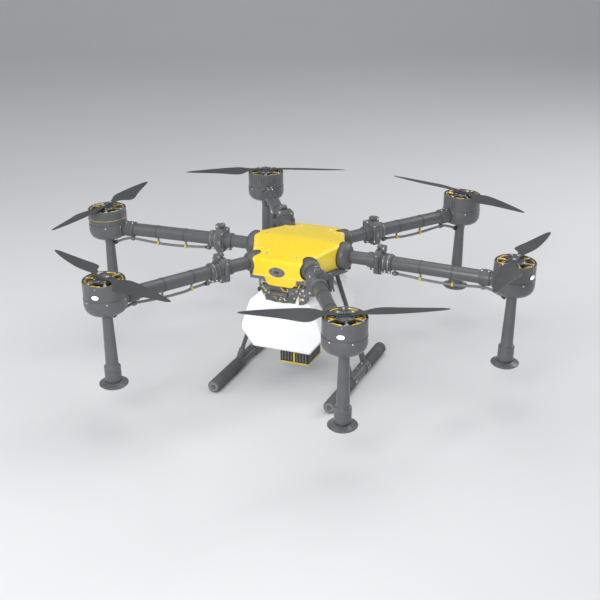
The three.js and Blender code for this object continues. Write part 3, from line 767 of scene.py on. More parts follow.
def build_tank():
    lo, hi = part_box("tank")
    y0, y1 = lo.y / MM, -lo.y / MM
    prof = [(-112, -329), (112, -329), (160, -262), (160, -240), (126, -142), (74, -92), (-74, -92), (-126, -142), (-160, -240), (-160, -262)]
    rad = [9, 9, 9, 9, 12, 9, 9, 12, 9, 9]
    # end rows pulled in for rounded ends
    steps = [(0, 8.5), (0.5, 5.4), (2.0, 2.6), (4.6, 0.7), (8, 0.1), (12, 0)]
    ring0 = rounded_loop(prof, rad, 5)
    cx, cz = 0.0, -215.0

    def inset(d):
        q = []
        for x, z in ring0:
            L = math.hypot(x - cx, z - cz)
            k = (L - d) / L
            q.append((cx + (x - cx) * k, cz + (z - cz) * k))
        return q
    rows = []
    chamfer = 15.0
    for dy, d in steps:
        rows.append((y0 + dy, inset(d * 0.75)))
    for t in (0.25, 0.5, 0.75):
        rows.append((y0 + 12 + (y1 - y0 - 24) * t, ring0))
    for dy, d in reversed(steps):
        rows.append((y1 - dy, inset(d * 0.75)))
    V = [(x, y, z) for y, ring in rows for x, z in ring]
    # bevelled lower front and rear edges
    W = []
    for x, y, z in V:
        e = max(0.0, abs(y) - 170.0) + max(0.0, -311.0 - z)
        zz = z
        if z < -240:
            lim = 24.0
            d = (abs(y) + (-z)) - (185 + 329 - 9)
            if d > 0:
                y = (abs(y) - d / 2) * (1 if y > 0 else -1)
                zz = z + d / 2
        W.append((x, y, zz))
    V = W
    n = len(ring0)
    F = []
    for i in range(len(rows) - 1):
        for k in range(n):
            j = (k + 1) % n
            F.append([i * n + k, i * n + j, (i + 1) * n + j, (i + 1) * n + k])
    F.append(list(range(n)))
    F.append([(len(rows) - 1) * n + k for k in reversed(range(n))])
    ob = temp("tank_raw", V, F)
    bm = bmesh.new()
    bm.from_mesh(ob.data)
    bmesh.ops.recalc_face_normals(bm, faces=bm.faces)
    bm.to_mesh(ob.data)
    bm.free()
    P0 = Part()
    P0.box(-62.3, 62.3, -230, 96.5, -122.3, -60, "dark", 4, 3)
    tool = temp("tool", P0.v, P0.f)
    # grip hollows on each side; the front panel cutter is made and then removed unused
    P1 = Part()
    P1.box(-70, 70, -200, y0 + 2.2, -285, -205, "dark", 2.0, 2)
    tool1 = temp("tool", P1.v, P1.f)
    tools = [tool]
    bpy.data.objects.remove(tool1)
    for sx in (-1, 1):
        Q = Part()
        for k in range(3):
            yy = -110 + 84 * k
            Q.box(sx * 158.2 if sx > 0 else -175, 175 if sx > 0 else -158.2, yy, yy + 54, -258, -244, "dark", 1.5, 2)
        tools.append(temp("tool", Q.v, Q.f))
    for sx in (-1, 1):
        for yt, yf in STRUTS:
            tools.append(cyl_between(Vector((sx * 101, yt, -46)), Vector((sx * 229, yf, -447)), 10.8, 28))
    v, f = cutters(ob, tools)
    P = Part()
    P.add(v, f, "tank")
    # mould seam round the tank, in the middle of its length
    seam = [(x * 1.0022, 0.0, cz + (z - cz) * 1.003) for x, z in ring0]
    lowest = [p for p in seam]
    pts = [Vector(p) for p in lowest if not (abs(p[0]) < 66 and p[2] > -125)]
    k0 = max(range(len(pts)), key=lambda i: (pts[i] - pts[i - 1]).length)
    pts = pts[k0:] + pts[:k0]
    P.sweep(pts, 0.9, "tank", 6)
    # filler neck with a thread and a collar
    P.lathe([(0, -95), (46, -95), (46, -90), (44, -89), (42.5, -88.5), (43.4, -87), (42.5, -85.5), (43.4, -84), (42.5, -82.6), (40, -82.2), (0, -82.2)], "tank", 48, filler_frame() @ Matrix.Translation((0, 0, 82)))
    P.lathe(rounded([(0, -46), (50, -46), (47, -16), (44, -8), (0, -8)], [2, 6, 2]), "tank", 48, filler_frame())
    # hose fitting and strap lugs on the front shoulders
    for sx in (-1, 1):
        P.box(sx * 88 - 8, sx * 88 + 8, -176, -150, -106, -92, "black", 1.6)
        P.bolt((sx * 88, -163, -92), (0, 0, 1), "steel", 4, 2.6)
        P.box(sx * 88 - 8, sx * 88 + 8, 150, 176, -106, -92, "black", 1.6)
    # level window marks on the left side are switched off; the loop draws nothing
    for k in range(7):
        P.box(-161.0 if k % 2 else -161.0, -159.6, 60 - (8 if k % 2 else 14), 60, -258 + 0, -256, "black", 0.2) if False else None
    P.object("tank_body", "fuselage", ["tank"], "white_tank", Matrix.Translation(BODY), 40)


def build_cap():
    P = Part()
    base = filler_frame() @ Matrix.Translation((0, 0, GAP))
    P.lathe(rounded([(0, 0), (49, 0), (49.5, 1.5), (49.5, 11.5), (44, 14), (0, 14)], [0.4, 1, 2, 2]), "black", 72, base)
    for k in range(36):
        a = 2 * math.pi * k / 36
        P.box(48.4, 50, -1.4, 1.4, 1.5, 11, "black", 0.4, 1, base @ Matrix.Rotation(a, 4, "Z"))
    P.box(-34, 34, -5.6, 5.6, 13.5, 24, "black", 2.4, 3, base)
    P.lathe(rounded([(0, 13.8), (22, 13.8), (20, 16.5), (0, 16.5)], [0.5, 1]), "black", 40, base)
    P.object("cap_filler", "tank_cap", ["tank_cap"], "black_plastic", Matrix.Translation(BODY))


def build_battery():
    lo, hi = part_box("battery")
    z0, z1 = lo.z / MM - BZ, hi.z / MM - BZ
    y1 = hi.y / MM
    P = Part()
    P.box(-59.6, 59.6, -188, y1 - 0.4, z0 + 0.3, z1 - 0.6, "battery", 4, 3)
    # front bezel, ribs and vents
    cover = [(-73.6, -66.4), (-73.6, -84), (-70.5, -97), (-63, -109.5), (-51, -120.5), (-36, -127.6), (-20, -130.6), (20, -130.6), (36, -127.6), (51, -120.5), (63, -109.5), (70.5, -97), (73.6, -84), (73.6, -66.4)]
    front = Matrix.Rotation(math.pi / 2, 4, "X")
    P.prism(cover, 185.7, 193.6, "battery", 2.4, 3, front)
    P.prism([(x * 0.86, -66 + (z + 66) * 0.86 - 4) for x, z in cover], 193.0, 195.2, "dark", 1.0, 2, front)
    # cooling fins, terminals and small parts on the cover
    for k in range(11):
        x = -50 + 10 * k
        zb = -121 + 0.0115 * x * x
        if abs(x) > 4:
            P.box(x - 1.9, x + 1.9, -196.6, -193, zb, zb + 13 + (k * 7 % 5), "battery", 0.8, 1)
    rng = np.random.RandomState(11)
    for k in range(64):
        x = -62 + 124 * rng.rand()
        z = -76 - 44 * rng.rand()
        if z < -124 + 0.012 * x * x or (abs(x) < 38 and z > -106):
            continue
        w, h = 1.6 + 3.2 * rng.rand(), 1.4 + 2.6 * rng.rand()
        P.box(x - w, x + w, -196.8 - rng.rand(), -192.5, z - h, z + h, ["metal", "battery", "cap", "trim", "tank", "metal"][int(rng.rand() * 6)], 0.7, 1)
    for x, z in ((-66, -76), (66, -76), (-58, -106), (58, -106), (0, -126)):
        P.bolt((x, -193.4, z), (0, -1, 0), "steel", 2.6, 1.6)
    for sx in (-1, 1):
        P.box(sx * 30 - 4, sx * 30 + 4, -207, -190, -103, -85, "dark", 1.5)
    P.box(-34, 34, -208, -201, -103.5, -84.5, "dark", 3, 3)
    P.box(-22, 22, -208.0, -206.8, -96, -92, "trim", 0.5, 1)
    # long side ribs
    for sx in (-1, 1):
        for z in (-78, -92, -108):
            P.box(sx * 59.9 - 0.5, sx * 59.9 + 0.5, -170, 80, z - 1.2, z + 1.2, "battery", 0.4, 1)
    # power leads with a connector on the front face
    P.box(10, 34, -196, -190, z1 - 21, z1 - 9, "trim", 1.2)
    for x, mat in ((15, "trim"), (22, "hose"), (29, "black")):
        P.sweep(catmull([(x, -194, z1 - 14), (x, -199, z1 - 13), (x - 4, -201, z1 - 7), (x - 8, -194, z1 - 3.4), (x - 9, -176, z1 - 2.6)], 5), 2.4, mat, 8)
    P.object("battery_pack", "battery", ["battery"], "battery_case", Matrix.Translation(BODY))


def build_wiring():
    """Hoses, leads and the small boxes that show between the canopy and the tank."""
    P = Part()
    # side leads from the hub to the tank's shoulders
    for sx in (-1, 1):
        P.sweep(catmull([(sx * 84, -150, -46), (sx * 86, -170, -56), (sx * 84, -178, -72), (sx * 80, -176, -86), (sx * 72, -170, -91)], 6), 4.2, "hose", 10)
        P.sweep(catmull([(sx * 70, -160, -46), (sx * 76, -182, -54), (sx * 70, -190, -68), (sx * 68, -186, -84), (sx * 70, -174, -92)], 6), 2.6, "trim", 8)
        P.sweep(catmull([(sx * 66, -140, -46), (sx * 68, -172, -60), (sx * 66, -184, -74), (sx * 65.5, -180, -90)], 6), 2.2, "black", 8)
    # wiring plate with connectors under the nose of the frame
    P.box(-72, 72, -196, -176, -57, -45, "battery", 2.5, 3)
    rng = np.random.RandomState(7)
    for k in range(11):
        x = -64 + 12.8 * k
        w, h = 4 + rng.rand() * 2.5, 4 + rng.rand() * 5
        mat = ["metal", "dark", "steel", "trim", "battery"][int(rng.rand() * 5)]
        P.box(x - w, x + w, -200 + rng.rand() * 2, -194, -55 - h * 0.4, -55 + h * 0.5, mat, 1.0, 1)
    for sx in (-1, 1):
        P.bolt((sx * 66, -196, -50), (0, -1, 0), "steel", 3, 2)
    # junction boxes and plugs beside the battery, in front of the tank's right shoulder
    P.prism([(74.4, -62), (112, -62), (113, -104), (106, -119), (92, -127), (74.4, -131)], 186, 192.5, "battery", 2.0, 3, Matrix.Rotation(math.pi / 2, 4, "X"))
    for k in range(22):
        x, z = 79 + 28 * rng.rand(), -68 - 50 * rng.rand()
        w, h = 1.6 + 3 * rng.rand(), 1.4 + 2.6 * rng.rand()
        P.box(x - w, x + w, -195.5 - rng.rand(), -191.5, z - h, z + h, ["metal", "dark", "battery", "trim", "tank"][int(rng.rand() * 5)], 0.7, 1)
    # strap and hose on the right rear shoulder
    P.sweep(catmull([(118, 26, -60), (128, 20, -78), (130, 8, -100), (133, 6, -120), (136, 10, -140)], 6), 4.0, "hose", 10)
    P.sweep(catmull([(112, -6, -46), (118, -12, -66), (116, -16, -88), (120, -20, -108), (124, -22, -126), (130, -22, -142)], 6), 3.2, "trim", 8)
    P.object("wiring_front", "fuselage", [], "dark_moulding", Matrix.Translation(BODY))


def build_pump():
    lo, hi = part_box("spray_pump")
    x0, x1, y0, y1 = lo.x / MM, hi.x / MM, lo.y / MM, hi.y / MM
    z0, z1 = lo.z / MM - BZ, hi.z / MM - BZ
    P = Part()
    P.box(x0 + 2, x1 - 2, y0 + 2, y1 - 2, z0 + 1.2, z1, "black", 4, 3)
    P.box(x0 + 0.6, x1 - 0.6, y0 + 0.6, y1 - 0.6, z1 - 12, z1, "dark", 2, 2)
    # cooling ribs on all four sides
    for k in range(9):
        x = x0 + 12 + (x1 - x0 - 24) * k / 8
        for y, s in ((y0, 1), (y1, -1)):
            P.box(x - 2.0, x + 2.0, min(y + s * 0.4, y + s * 6), max(y + s * 0.4, y + s * 6), z0 + 10, z1 - 16, "battery", 0.9, 1)
    for k in range(10):
        y = y0 + 12 + (y1 - y0 - 24) * k / 9
        for x, s in ((x0, 1), (x1, -1)):
            P.box(min(x + s * 0.4, x + s * 6), max(x + s * 0.4, x + s * 6), y - 2.0, y + 2.0, z0 + 10, z1 - 16, "battery", 0.9, 1)
    # yellow edging: bottom frame and one upright on each face
    for y in (y0 + 1.0, y1 - 1.0):
        P.sweep([(x0 + 2, y, z0 + 3), (x1 - 2, y, z0 + 3)], 2.2, "trim", 8) if False else P.box(x0 + 1, x1 - 1, y - 1.0, y + 1.4, z0 + 0.2, z0 + 5.6, "trim", 0.8, 1)
        P.box(-3.4, 3.4, y - 1.0, y + 1.2, z0 + 1, z1 - 2, "trim", 0.8, 1)
    for x in (x0 + 1.0, x1 - 1.0):
        P.box(x - 1.0, x + 1.0, y0 + 1, y1 - 1, z0 + 0.2, z0 + 5.6, "trim", 0.8, 1)
        P.box(x - 1.0, x + 1.0, y1 - 12, y1 - 6, z0 + 1, z1 - 12, "trim", 0.8, 1)
    # bottom cover with screws
    P.box(x0 + 10, x1 - 10, y0 + 10, y1 - 10, z0, z0 + 3, "dark", 1.2, 2)
    for sx in (x0 + 16, x1 - 16):
        for sy in (y0 + 16, y1 - 16):
            P.lathe([(0, z0 + 0.1), (4, z0 + 0.1), (4.4, z0 + 0.7), (4.4, z0 + 3), (0, z0 + 3)], "steel", 16, Matrix.Translation((sx, sy, 0)))
    P.object("pump_box", "fuselage", ["spray_pump"], "black_plastic", Matrix.Translation(BODY))


# ------------------------------------------------------------------ landing gear
def build_legs():
    for side, sx in (("left", -1), ("right", 1)):
        lo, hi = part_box("skid_" + side)
        slo, shi = lo, hi
        SX = sx * 232
        y0, y1 = slo.y / MM, shi.y / MM
        zc = (slo.z + shi.z) / 2 / MM - BZ
        S = Part()
        S.lathe([(0, y0 + 40), (19.6, y0 + 40), (19.6, y1 - 40), (0, y1 - 40)], "carbon", 40, Matrix.Translation((SX, 0, zc)) @ Matrix.Rotation(-math.pi / 2, 4, "X"))
        for a, b in ((y0, y0 + 226), (y1 - 176, y1)):
            pr = rounded([(0, a), (9, a), (9, a + 3), (19, a + 3.2), (23.7, a + 6), (23.7, b - 6), (21.5, b - 3), (20.4, b - 1), (19.8, b), (0, b)], [0, 0, 1.5, 5, 5, 2, 0.5, 0], 4) if a == y0 else \
                rounded([(0, a), (19.8, a), (20.4, a + 1), (21, a + 3), (23.7, a + 6), (23.7, b - 6), (19, b - 3.2), (9, b - 3), (9, b), (0, b)], [0, 0.5, 2, 5, 5, 1.5, 0, 0], 4)
            S.lathe(pr, "foam", 56, Matrix.Translation((SX, 0, zc)) @ Matrix.Rotation(-math.pi / 2, 4, "X"))
            for t in (0.33, 0.66) if b - a > 200 else (0.5,):
                c = a + (b - a) * t
                S.lathe([(23.9, c - 1.2), (24.02, c - 0.8), (24.02, c + 0.8), (23.9, c + 1.2), (23.5, c + 1.2), (23.5, c - 1.2), (23.9, c - 1.2)], "black", 56, Matrix.Translation((SX, 0, zc)) @ Matrix.Rotation(-math.pi / 2, 4, "X"))
        for a, q in ((y0 + 2.3, 1), (y1 - 4.1, 1)):
            S.lathe([(9.1, a), (18.2, a), (18.2, a + 1.8), (9.1, a + 1.8), (9.1, a)], "cap", 48, Matrix.Translation((SX, 0, zc)) @ Matrix.Rotation(-math.pi / 2, 4, "X"))
        S.object("skid_tube_" + side, "fuselage", ["skid_" + side], "skid_foam", Matrix.Translation(BODY))

        L = Part()
        legs = [((sx * 101, yt, -46), (sx * 229, yf, -447)) for yt, yf in STRUTS]
        for a, b in legs:
            a, b = Vector(a), Vector(b)
            d = (b - a).normalized()
            L.sweep([a, a + d * 130, a + d * 260, b], 8, "carbon", 24)
            # clamp ferrules at both ends
            L.sweep([a - d * 2, a + d * 3, a + d * 30, a + d * 34], 11, "dark", 24, radii=[9.5, 11, 11, 9.5])
            L.sweep([b - d * 44, b - d * 40, b - d * 4, b + d * 0.5], 11.5, "dark", 24, radii=[9.5, 11.5, 11.5, 11.5])
            # tee that grips the skid tube
            ca, cb = max(b.y - 20, -63.5), min(b.y + 20, 116.5)
            for c in (b.y,):
                L.lathe(rounded([(20.0, ca), (22.8, ca), (22.8, cb), (20.0, cb)], [1.5, 1.5], 4) + [(20.0, ca)], "dark", 40,
                        Matrix.Translation((SX, 0, zc)) @ Matrix.Rotation(-math.pi / 2, 4, "X"))
            L.bolt((SX + sx * 22.6, max(b.y - 11, -58), zc + 3), (sx, 0, 0.1), "steel", 3, 1.8)
            L.bolt((SX + sx * 22.6, b.y + 11, zc + 3), (sx, 0, 0.1), "steel", 3, 1.8)
        # plate on top of the middle tube and rail under the deck
        L.box(SX - 10, SX + 10, -63, 113, -455.5, -446, "dark", 2.5, 3)
        for yb in (-30, 18, 66):
            L.bolt((SX, yb, -446.2), (0, 0, 1), "steel", 3, 2)
        xa, xb = sorted((sx * 84, sx * 118))
        L.box(xa, xb, -54, 100, -53.6, -44.6, "dark", 2.5, 3)
        for y in (-44, -20, 66, 90):
            L.bolt((sx * 89, y, -53.4), (0, 0, -1), "steel", 3, 2.2)
        # points two thirds down each pair of struts; the tie bar between them is switched off
        A = Vector(legs[0][0]).lerp(Vector(legs[0][1]), 0.66)
        B = Vector(legs[1][0]).lerp(Vector(legs[1][1]), 0.66)
        L.sweep([A, A.lerp(B, 0.5), B], 5.2, "carbon", 20) if False else None
        L.object("leg_struts_" + side, "fuselage", ["leg_frame_" + side], "carbon_tube", Matrix.Translation(BODY))


# ------------------------------------------------------------------ arms
def build_arm(name):
    mat, ang = arm_frame(name)
    side = name in ("left", "right")
    fold = JOINTS["fold_" + name]
    local = mat.inverted() @ Vector(fold["pos_m"])
    PS, PY = local.x / MM, local.y / MM
    sg = 1 if PY > 0 else -1
    yy = abs(PY)
    pod, _ = pod_frame(name)
    X90 = None

    # ---- socket, rides on the fuselage
    P = Part()
    if side:
        prof = boot(side) + [(52.6, 185), (49.2, 192), (44, 198), (37.5, 203), (30, 206), (24, 206.5), (0, 206.5)]
    else:
        prof = boot(side) + [(38.2, 213), (37.4, 220), (35.2, 226.5), (31.5, 231.5), (27, 234.6), (23, 235.5), (0, 235.5)]
    P.lathe(prof, "dark", 64, None, "x")
    if side:
        P.lathe([(0, 147.5), (30, 147.5), (30, 180), (0, 180)], "dark", 40, None, "x")
    else:
        P.lathe([(37.2, 208), (38.5, 209), (38.5, 211), (37.2, 212), (36, 212), (36, 208), (37.2, 208)], "black", 64, None, "x")
        P.lathe([(0, 148.5), (26, 148.5), (26, 190), (0, 190)], "dark", 40, None, "x")
    P.lathe(rounded([(0, 195), (24, 195), (24, PS - 10), (0, PS - 10)], 0.8), "carbon", 48, None, "x")
    c0 = PS - 44
    P.lathe(rounded([(23, c0), (28.6, c0), (28.6, PS - 13), (23, PS - 13)], 1.6) + [(23, c0)], "dark", 48, None, "x")
    # clamp ears with a bolt, below the tube
    P.box(c0 + 6, PS - 18, -4, 4, -40, -26, "dark", 2, 2)
    P.bolt((c0 + 18, -4, -34), (0, -1, 0), "steel", 3.2, 2.4)
    P.bolt((c0 + 18, 4, -34), (0, 1, 0), "steel", 3.2, 2.4)
    outline = [(-26, -46), (22, -46), (36, -34), (yy, -30), (yy, 30), (36, 34), (22, 46), (-26, 46), (-38, 34), (-38, -34)]
    outline = [(y * sg, z) for y, z in outline]
    # a plate across the arm: x runs along the arm
    across = Matrix(((0, 0, 1, 0), (1, 0, 0, 0), (0, 1, 0, 0), (0, 0, 0, 1)))
    inner = [(y - 3.5 * (1 if y > 0 else -1), z - 3.5 * (1 if z > 0 else -1)) for y, z in outline]
    keep = [(y if (y * sg) < yy - 10 else sg * (yy - 9.6), z) for y, z in outline]
    P.prism(keep, PS - 12, PS - 0.3, "dark", 1.8, 2, across)
    P.prism([(y * 0.8, z * 0.8) for y, z in keep], PS - 15, PS - 11, "dark", 2.0, 2, across)
    for dy, dz in ((-28, -30), (-28, 30), (18, -36), (18, 36)):
        P.bolt((PS - 12, dy * sg, dz), (-1, 0, 0), "steel", 3.6, 2.8)
    # knuckle and pin
    pin = Matrix.Translation((PS, PY, 0))
    P.lathe(rounded([(0, -12.9), (9.4, -12.9), (9.4, 12.9), (0, 12.9)], 0.8), "dark", 32, pin)
    P.box(PS - 11.5, PS - 0.6, sorted((sg * (yy - 14), PY))[0], sorted((sg * (yy - 14), PY))[1], -12.6, 12.6, "dark", 1.2, 2)
    P.lathe(rounded([(0, -34.8), (3.9, -34.8), (3.9, 34.8), (0, 34.8)], 0.5), "steel", 20, pin)
    # latch keeper on the other edge
    P.box(PS - 11, PS - 2, -sg * 38 - 6, -sg * 38 + 6, -9, 9, "metal", 1.5, 2)
    P.object("socket_" + name, "fuselage", ["arm_socket_" + name], "dark_moulding", mat)

    # ---- folding arm
    P = Part()
    P.prism(keep, PS + 0.3, PS + 12, "dark", 1.8, 2, across)
    P.prism([(y * 0.78, z * 0.78) for y, z in keep], PS + 11, PS + 15, "dark", 2.0, 2, across)
    for dy, dz in ((-28, -30), (-28, 30), (18, -36)):
        P.bolt((PS + 12, dy * sg, dz), (1, 0, 0), "steel", 3.6, 2.8)
    for z in (13.5, -31.9):
        P.lathe(rounded([(4.7, z), (9.4, z), (9.4, z + 18.4), (4.7, z + 18.4)], 0.8) + [(4.7, z)], "dark", 32, pin)
        ya, yb = sorted((sg * (yy - 14), sg * (yy - 7)))
        P.box(PS + 0.6, PS + 11.5, ya, yb, z + 0.4, z + 18, "dark", 1.0, 2)
    # latch lever on top
    P.box(PS + 2, PS + 23, -12.6, 12.6, 40, 52, "dark", 2.5, 3)
    P.box(PS - 9.6, PS + 23.4, -12.6, 12.6, 51, 60, "dark", 3.0, 3)
    P.box(PS - 8.5, PS + 6, -8.5, 8.5, 58.5, 64.8, "metal", 2.6, 3)
    P.lathe(rounded([(0, -13.6), (4.2, -13.6), (4.2, 13.6), (0, 13.6)], 0.6), "steel", 20, Matrix.Translation((PS + 15.5, 0, 53)) @ Matrix.Rotation(math.pi / 2, 4, "X"))
    slope = Matrix.Translation((PS, 0, 0)) @ Matrix.Rotation(DROOP, 4, "Y") @ Matrix.Translation((-PS, 0, 0))
    P.lathe(rounded([(0, PS + 9), (31.6, PS + 9), (31.6, PS + 46), (28.5, PS + 50), (25.2, PS + 50.5), (0, PS + 50.5)], [1.5, 4, 2, 0.2]), "dark", 56, slope, "x")
    # grooves and ears of the clamp
    for s in (PS + 20, PS + 38):
        P.lathe([(31.2, s - 2), (32.0, s - 1.5), (32.0, s + 1.5), (31.2, s + 2), (30, s + 2), (30, s - 2), (31.2, s - 2)], "metal", 56, slope, "x")
    P.box(PS + 14, PS + 44, -4.5, 4.5, -44, -30, "dark", 2, 2, slope)
    for s in (PS + 20, PS + 38):
        for q in (-1, 1):
            P.bolt((s, 4.5 * q, -37.5), (0, q, 0), "steel", 3.2, 2.2, slope)
    P.lathe(rounded([(0, PS + 44), (25, PS + 44), (25, 741), (0, 741)], 0.6), "carbon", 64, slope, "x")
    # outer collar and clips
    P.lathe(rounded([(24.6, 694), (28, 694), (29.8, 697), (29.8, 730), (28, 734), (24.6, 734)], [1, 1.5, 1.5, 1], 3) + [(24.6, 694)], "dark", 56, slope, "x")
    for s in (701, 727):
        P.bolt((s, 8, 28.0), (0, 0.28, 1), "steel", 3.0, 2.2, slope)
        P.bolt((s, -8, 28.0), (0, -0.28, 1), "steel", 3.0, 2.2, slope)
    clip_s = [(PS + 52, PS + 64), (700, 713)]
    run = hose_points(PS)

    def hose_z(s):
        for a, b in zip(run, run[1:]):
            if a[0] <= s <= b[0]:
                return a[2] + (b[2] - a[2]) * (s - a[0]) / (b[0] - a[0])
        return run[0][2]
    for a, b in clip_s + [(470, 478), (590, 598)]:
        s = (a + b) / 2
        zc = hose_z(s)
        # a loop round the hose and a stalk up to the tube
        P.lathe([(5.6, a + 0.5), (8.4, a + 0.5), (8.4, b - 0.5), (5.6, b - 0.5), (5.6, a + 0.5)], "trim" if a < 690 and a > 460 else "dark", 24, Matrix.Translation((0, 0, zc)), "x")
        ztube = -24.0 - (s - PS) * math.tan(DROOP)
        if ztube - 1 > zc + 7:
            P.box(a + 1, b - 1, -3, 3, zc + 6.8, ztube + 2.5, "dark", 0.8, 1)
        if a > 460 and a < 690:
            # strap that holds the clip to the tube
            zt = -(s - PS) * math.tan(DROOP)
            P.lathe([(24.9, a + 1.5), (26.0, a + 1.5), (26.0, b - 1.5), (24.9, b - 1.5), (24.9, a + 1.5)], "black", 56, Matrix.Translation((0, 0, zt)), "x")
    P.object("arm_" + name, "arm_" + name, ["arm_tube_" + name], "carbon_tube", mat)

    # ---- feed hose
    H = Part()
    line = catmull(run, 6)
    H.sweep(line, 4.9, "hose", 14)
    a = Vector(run[0])
    H.sweep([a + Vector((0, 0, 0)), a + Vector((3, 0, 0)), a + Vector((22, 0, -0.2)), a + Vector((25, 0, -0.3))], 6.0, "black", 14, radii=[5.2, 6.3, 6.3, 5.2])
    H.object("hose_" + name, "arm_" + name, ["feed_hose_" + name], "hose", mat)

    # ---- motor pod
    P = Part()
    shell = [(0, 52), (66, 52), (70.9, 54), (70.9, 77.8), (72.6, 78.8), (74.5, 76.2), (74.5, 21.2), (73.4, 20.4), (73.4, 19.2), (75.8, 18.4), (75.8, -8), (73.5, -21), (66.5, -32.5),
             (55.5, -40), (40, -44.6), (28, -47), (22.5, -52), (19.6, -60), (18.4, -72), (19.4, -110), (21.0, -170), (22.6, -238), (23.2, -243), (26.5, -245.2), (29.3, -248.5), (29.3, -262),
             (28.4, -263), (28.4, -266), (29.3, -267), (29.3, -298), (27.5, -303.2), (24, -303.9), (0, -303.9)]
    P.lathe(rounded(shell, [0.5, 2, 0.8, 0.6, 1.5, 0.5, 0.4, 0.4, 1.2, 10, 14, 16, 18, 12, 6, 8, 8, 30, 30, 8, 1.5, 2.5, 2.5, 0.3, 0.5, 0.5, 0.3, 3, 1, 0.5], 4), "pod", 72)
    # stator with wound coils
    P.lathe(rounded([(0, 52), (44, 52), (44, 60), (30, 62), (0, 62)], 1.0), "metal", 48)
    for k in range(18):
        a = 2 * math.pi * k / 18
        rot = Matrix.Rotation(a, 4, "Z")
        P.box(36, 68, -5.6, 5.6, 50, 65.8, "copper", 3.4, 3, rot)
    # lamp housing and lens, on the outer side; the lens glow is a painted highlight
    la = math.radians({"front_left": 36, "front_right": -22, "right": -21, "left": 21, "rear_left": -30, "rear_right": 30}[name])
    lz = 38.0
    rotl = Matrix.Rotation(la, 4, "Z") @ Matrix.Translation((74.0, 0, lz)) @ Matrix.Rotation(math.pi / 2, 4, "Y") @ Matrix.Diagonal((8.2, 13.6, 1, 1))
    P.lathe([(0, -2.5), (1.16, -2.5), (1.16, 0.1), (1.10, 0.9), (1.0, 0.9), (0.96, -0.4), (0, -0.4)], "black", 40, rotl)
    P.lathe([(0, -1.0), (0.95, -1.0), (0.95, 0.2), (0.8, 0.9), (0.45, 1.35), (0, 1.5)], "lens", 40, rotl)
    # small screws near the lamp, and round the bowl
    for da, z in ((0.03, 68),):
        q = la + da
        P.bolt((74.0 * math.cos(q) if z > 20 else 75.6 * math.cos(q), 74.0 * math.sin(q) if z > 20 else 75.6 * math.sin(q), z), (math.cos(q), math.sin(q), 0), "steel", 1.7, 0.9)
    for k in range(6):
        q = la + math.pi / 3 * (k + 0.5)
        P.bolt((75.5 * math.cos(q), 75.5 * math.sin(q), 12), (math.cos(q), math.sin(q), 0), "steel", 2.2, 1.0)
    # cooling slots, on the side that faces the hub
    for k in range(-3, 4):
        q = math.pi + 0.14 * k
        if abs(k) > 1:
            P.box(73.2, 74.9, -2.2, 2.2, 36, 66, "black", 0.6, 1, Matrix.Rotation(q, 4, "Z"))
    # boss that takes the arm tube
    inv = pod.inverted() @ mat
    sc = Matrix.Scale(1000, 4)
    arm_in_pod = sc @ inv @ Matrix.Scale(0.001, 4)
    P.lathe(rounded([(0, 742), (31, 742), (33, 746), (34, 765), (0, 765)], [2, 3, 1]), "pod", 56, arm_in_pod @ slope, "x")
    # a thin yellow ring under the rim, on the left pod only
    if name == "left":
        P.lathe([(74.2, 40.2), (74.8, 40.4), (74.8, 41.6), (74.2, 41.8), (73.5, 41.8), (73.5, 40.2), (74.2, 40.2)], "trim", 72)
    # hose fitting on the neck of the stem
    end = arm_in_pod @ Vector(run[-1])
    P.lathe(rounded([(0, -4), (7.6, -4), (7.6, 9), (6.6, 12), (0, 12)], [1, 1, 0.5]), "black", 24, Matrix.Translation(end) @ (Vector((-0.85, 0, 0.5))).to_track_quat("Z", "Y").to_matrix().to_4x4())
    P.object("pod_" + name, "arm_" + name, ["motor_pod_" + name], "pod_shell", pod)

    # ---- spray disc
    D = Part()
    D.lathe(rounded([(0, -304.6), (28.5, -304.6), (51, -311.5), (51.3, -313), (51.3, -316), (50.4, -317), (47, -317.5), (44.5, -322.6), (0, -322.6)], [0.5, 1, 0.4, 0.4, 0.5, 1, 1]), "pod", 72)
    for k in range(36):
        a = 2 * math.pi * k / 36
        D.box(30, 50.6, -0.5, 0.5, -3, -1.0, "pod", 0.2, 1, Matrix.Rotation(a, 4, "Z") @ Matrix.Translation((0, 0, -303.2)) @ Matrix.Translation((28, 0, 0)) @ Matrix.Rotation(math.atan2(6.9, 22.5), 4, "Y") @ Matrix.Translation((-28, 0, 0)))
    D.object("disc_" + name, "spray_disc_" + name, ["spray_disc_" + name], "disc_plastic", pod)

    # ---- rotor bell and blades
    sp = JOINTS["rotor_spin_" + name]
    piv = [Vector(JOINTS[f"blade_{i}_fold_{name}"]["pos_m"]) for i in (1, 2)]
    g = pod.inverted() @ piv[0]
    grip = math.atan2(g.y, g.x)
    turn = Matrix.Rotation(grip, 4, "Z")
    B = Part()
    B.lathe([(60.5, 67.2), (67.6, 67.2), (68.4, 68.2), (68.4, 74.0), (67.4, 75.0), (61.3, 75.0), (60.5, 74.2), (60.5, 67.2)], "metal", 72)
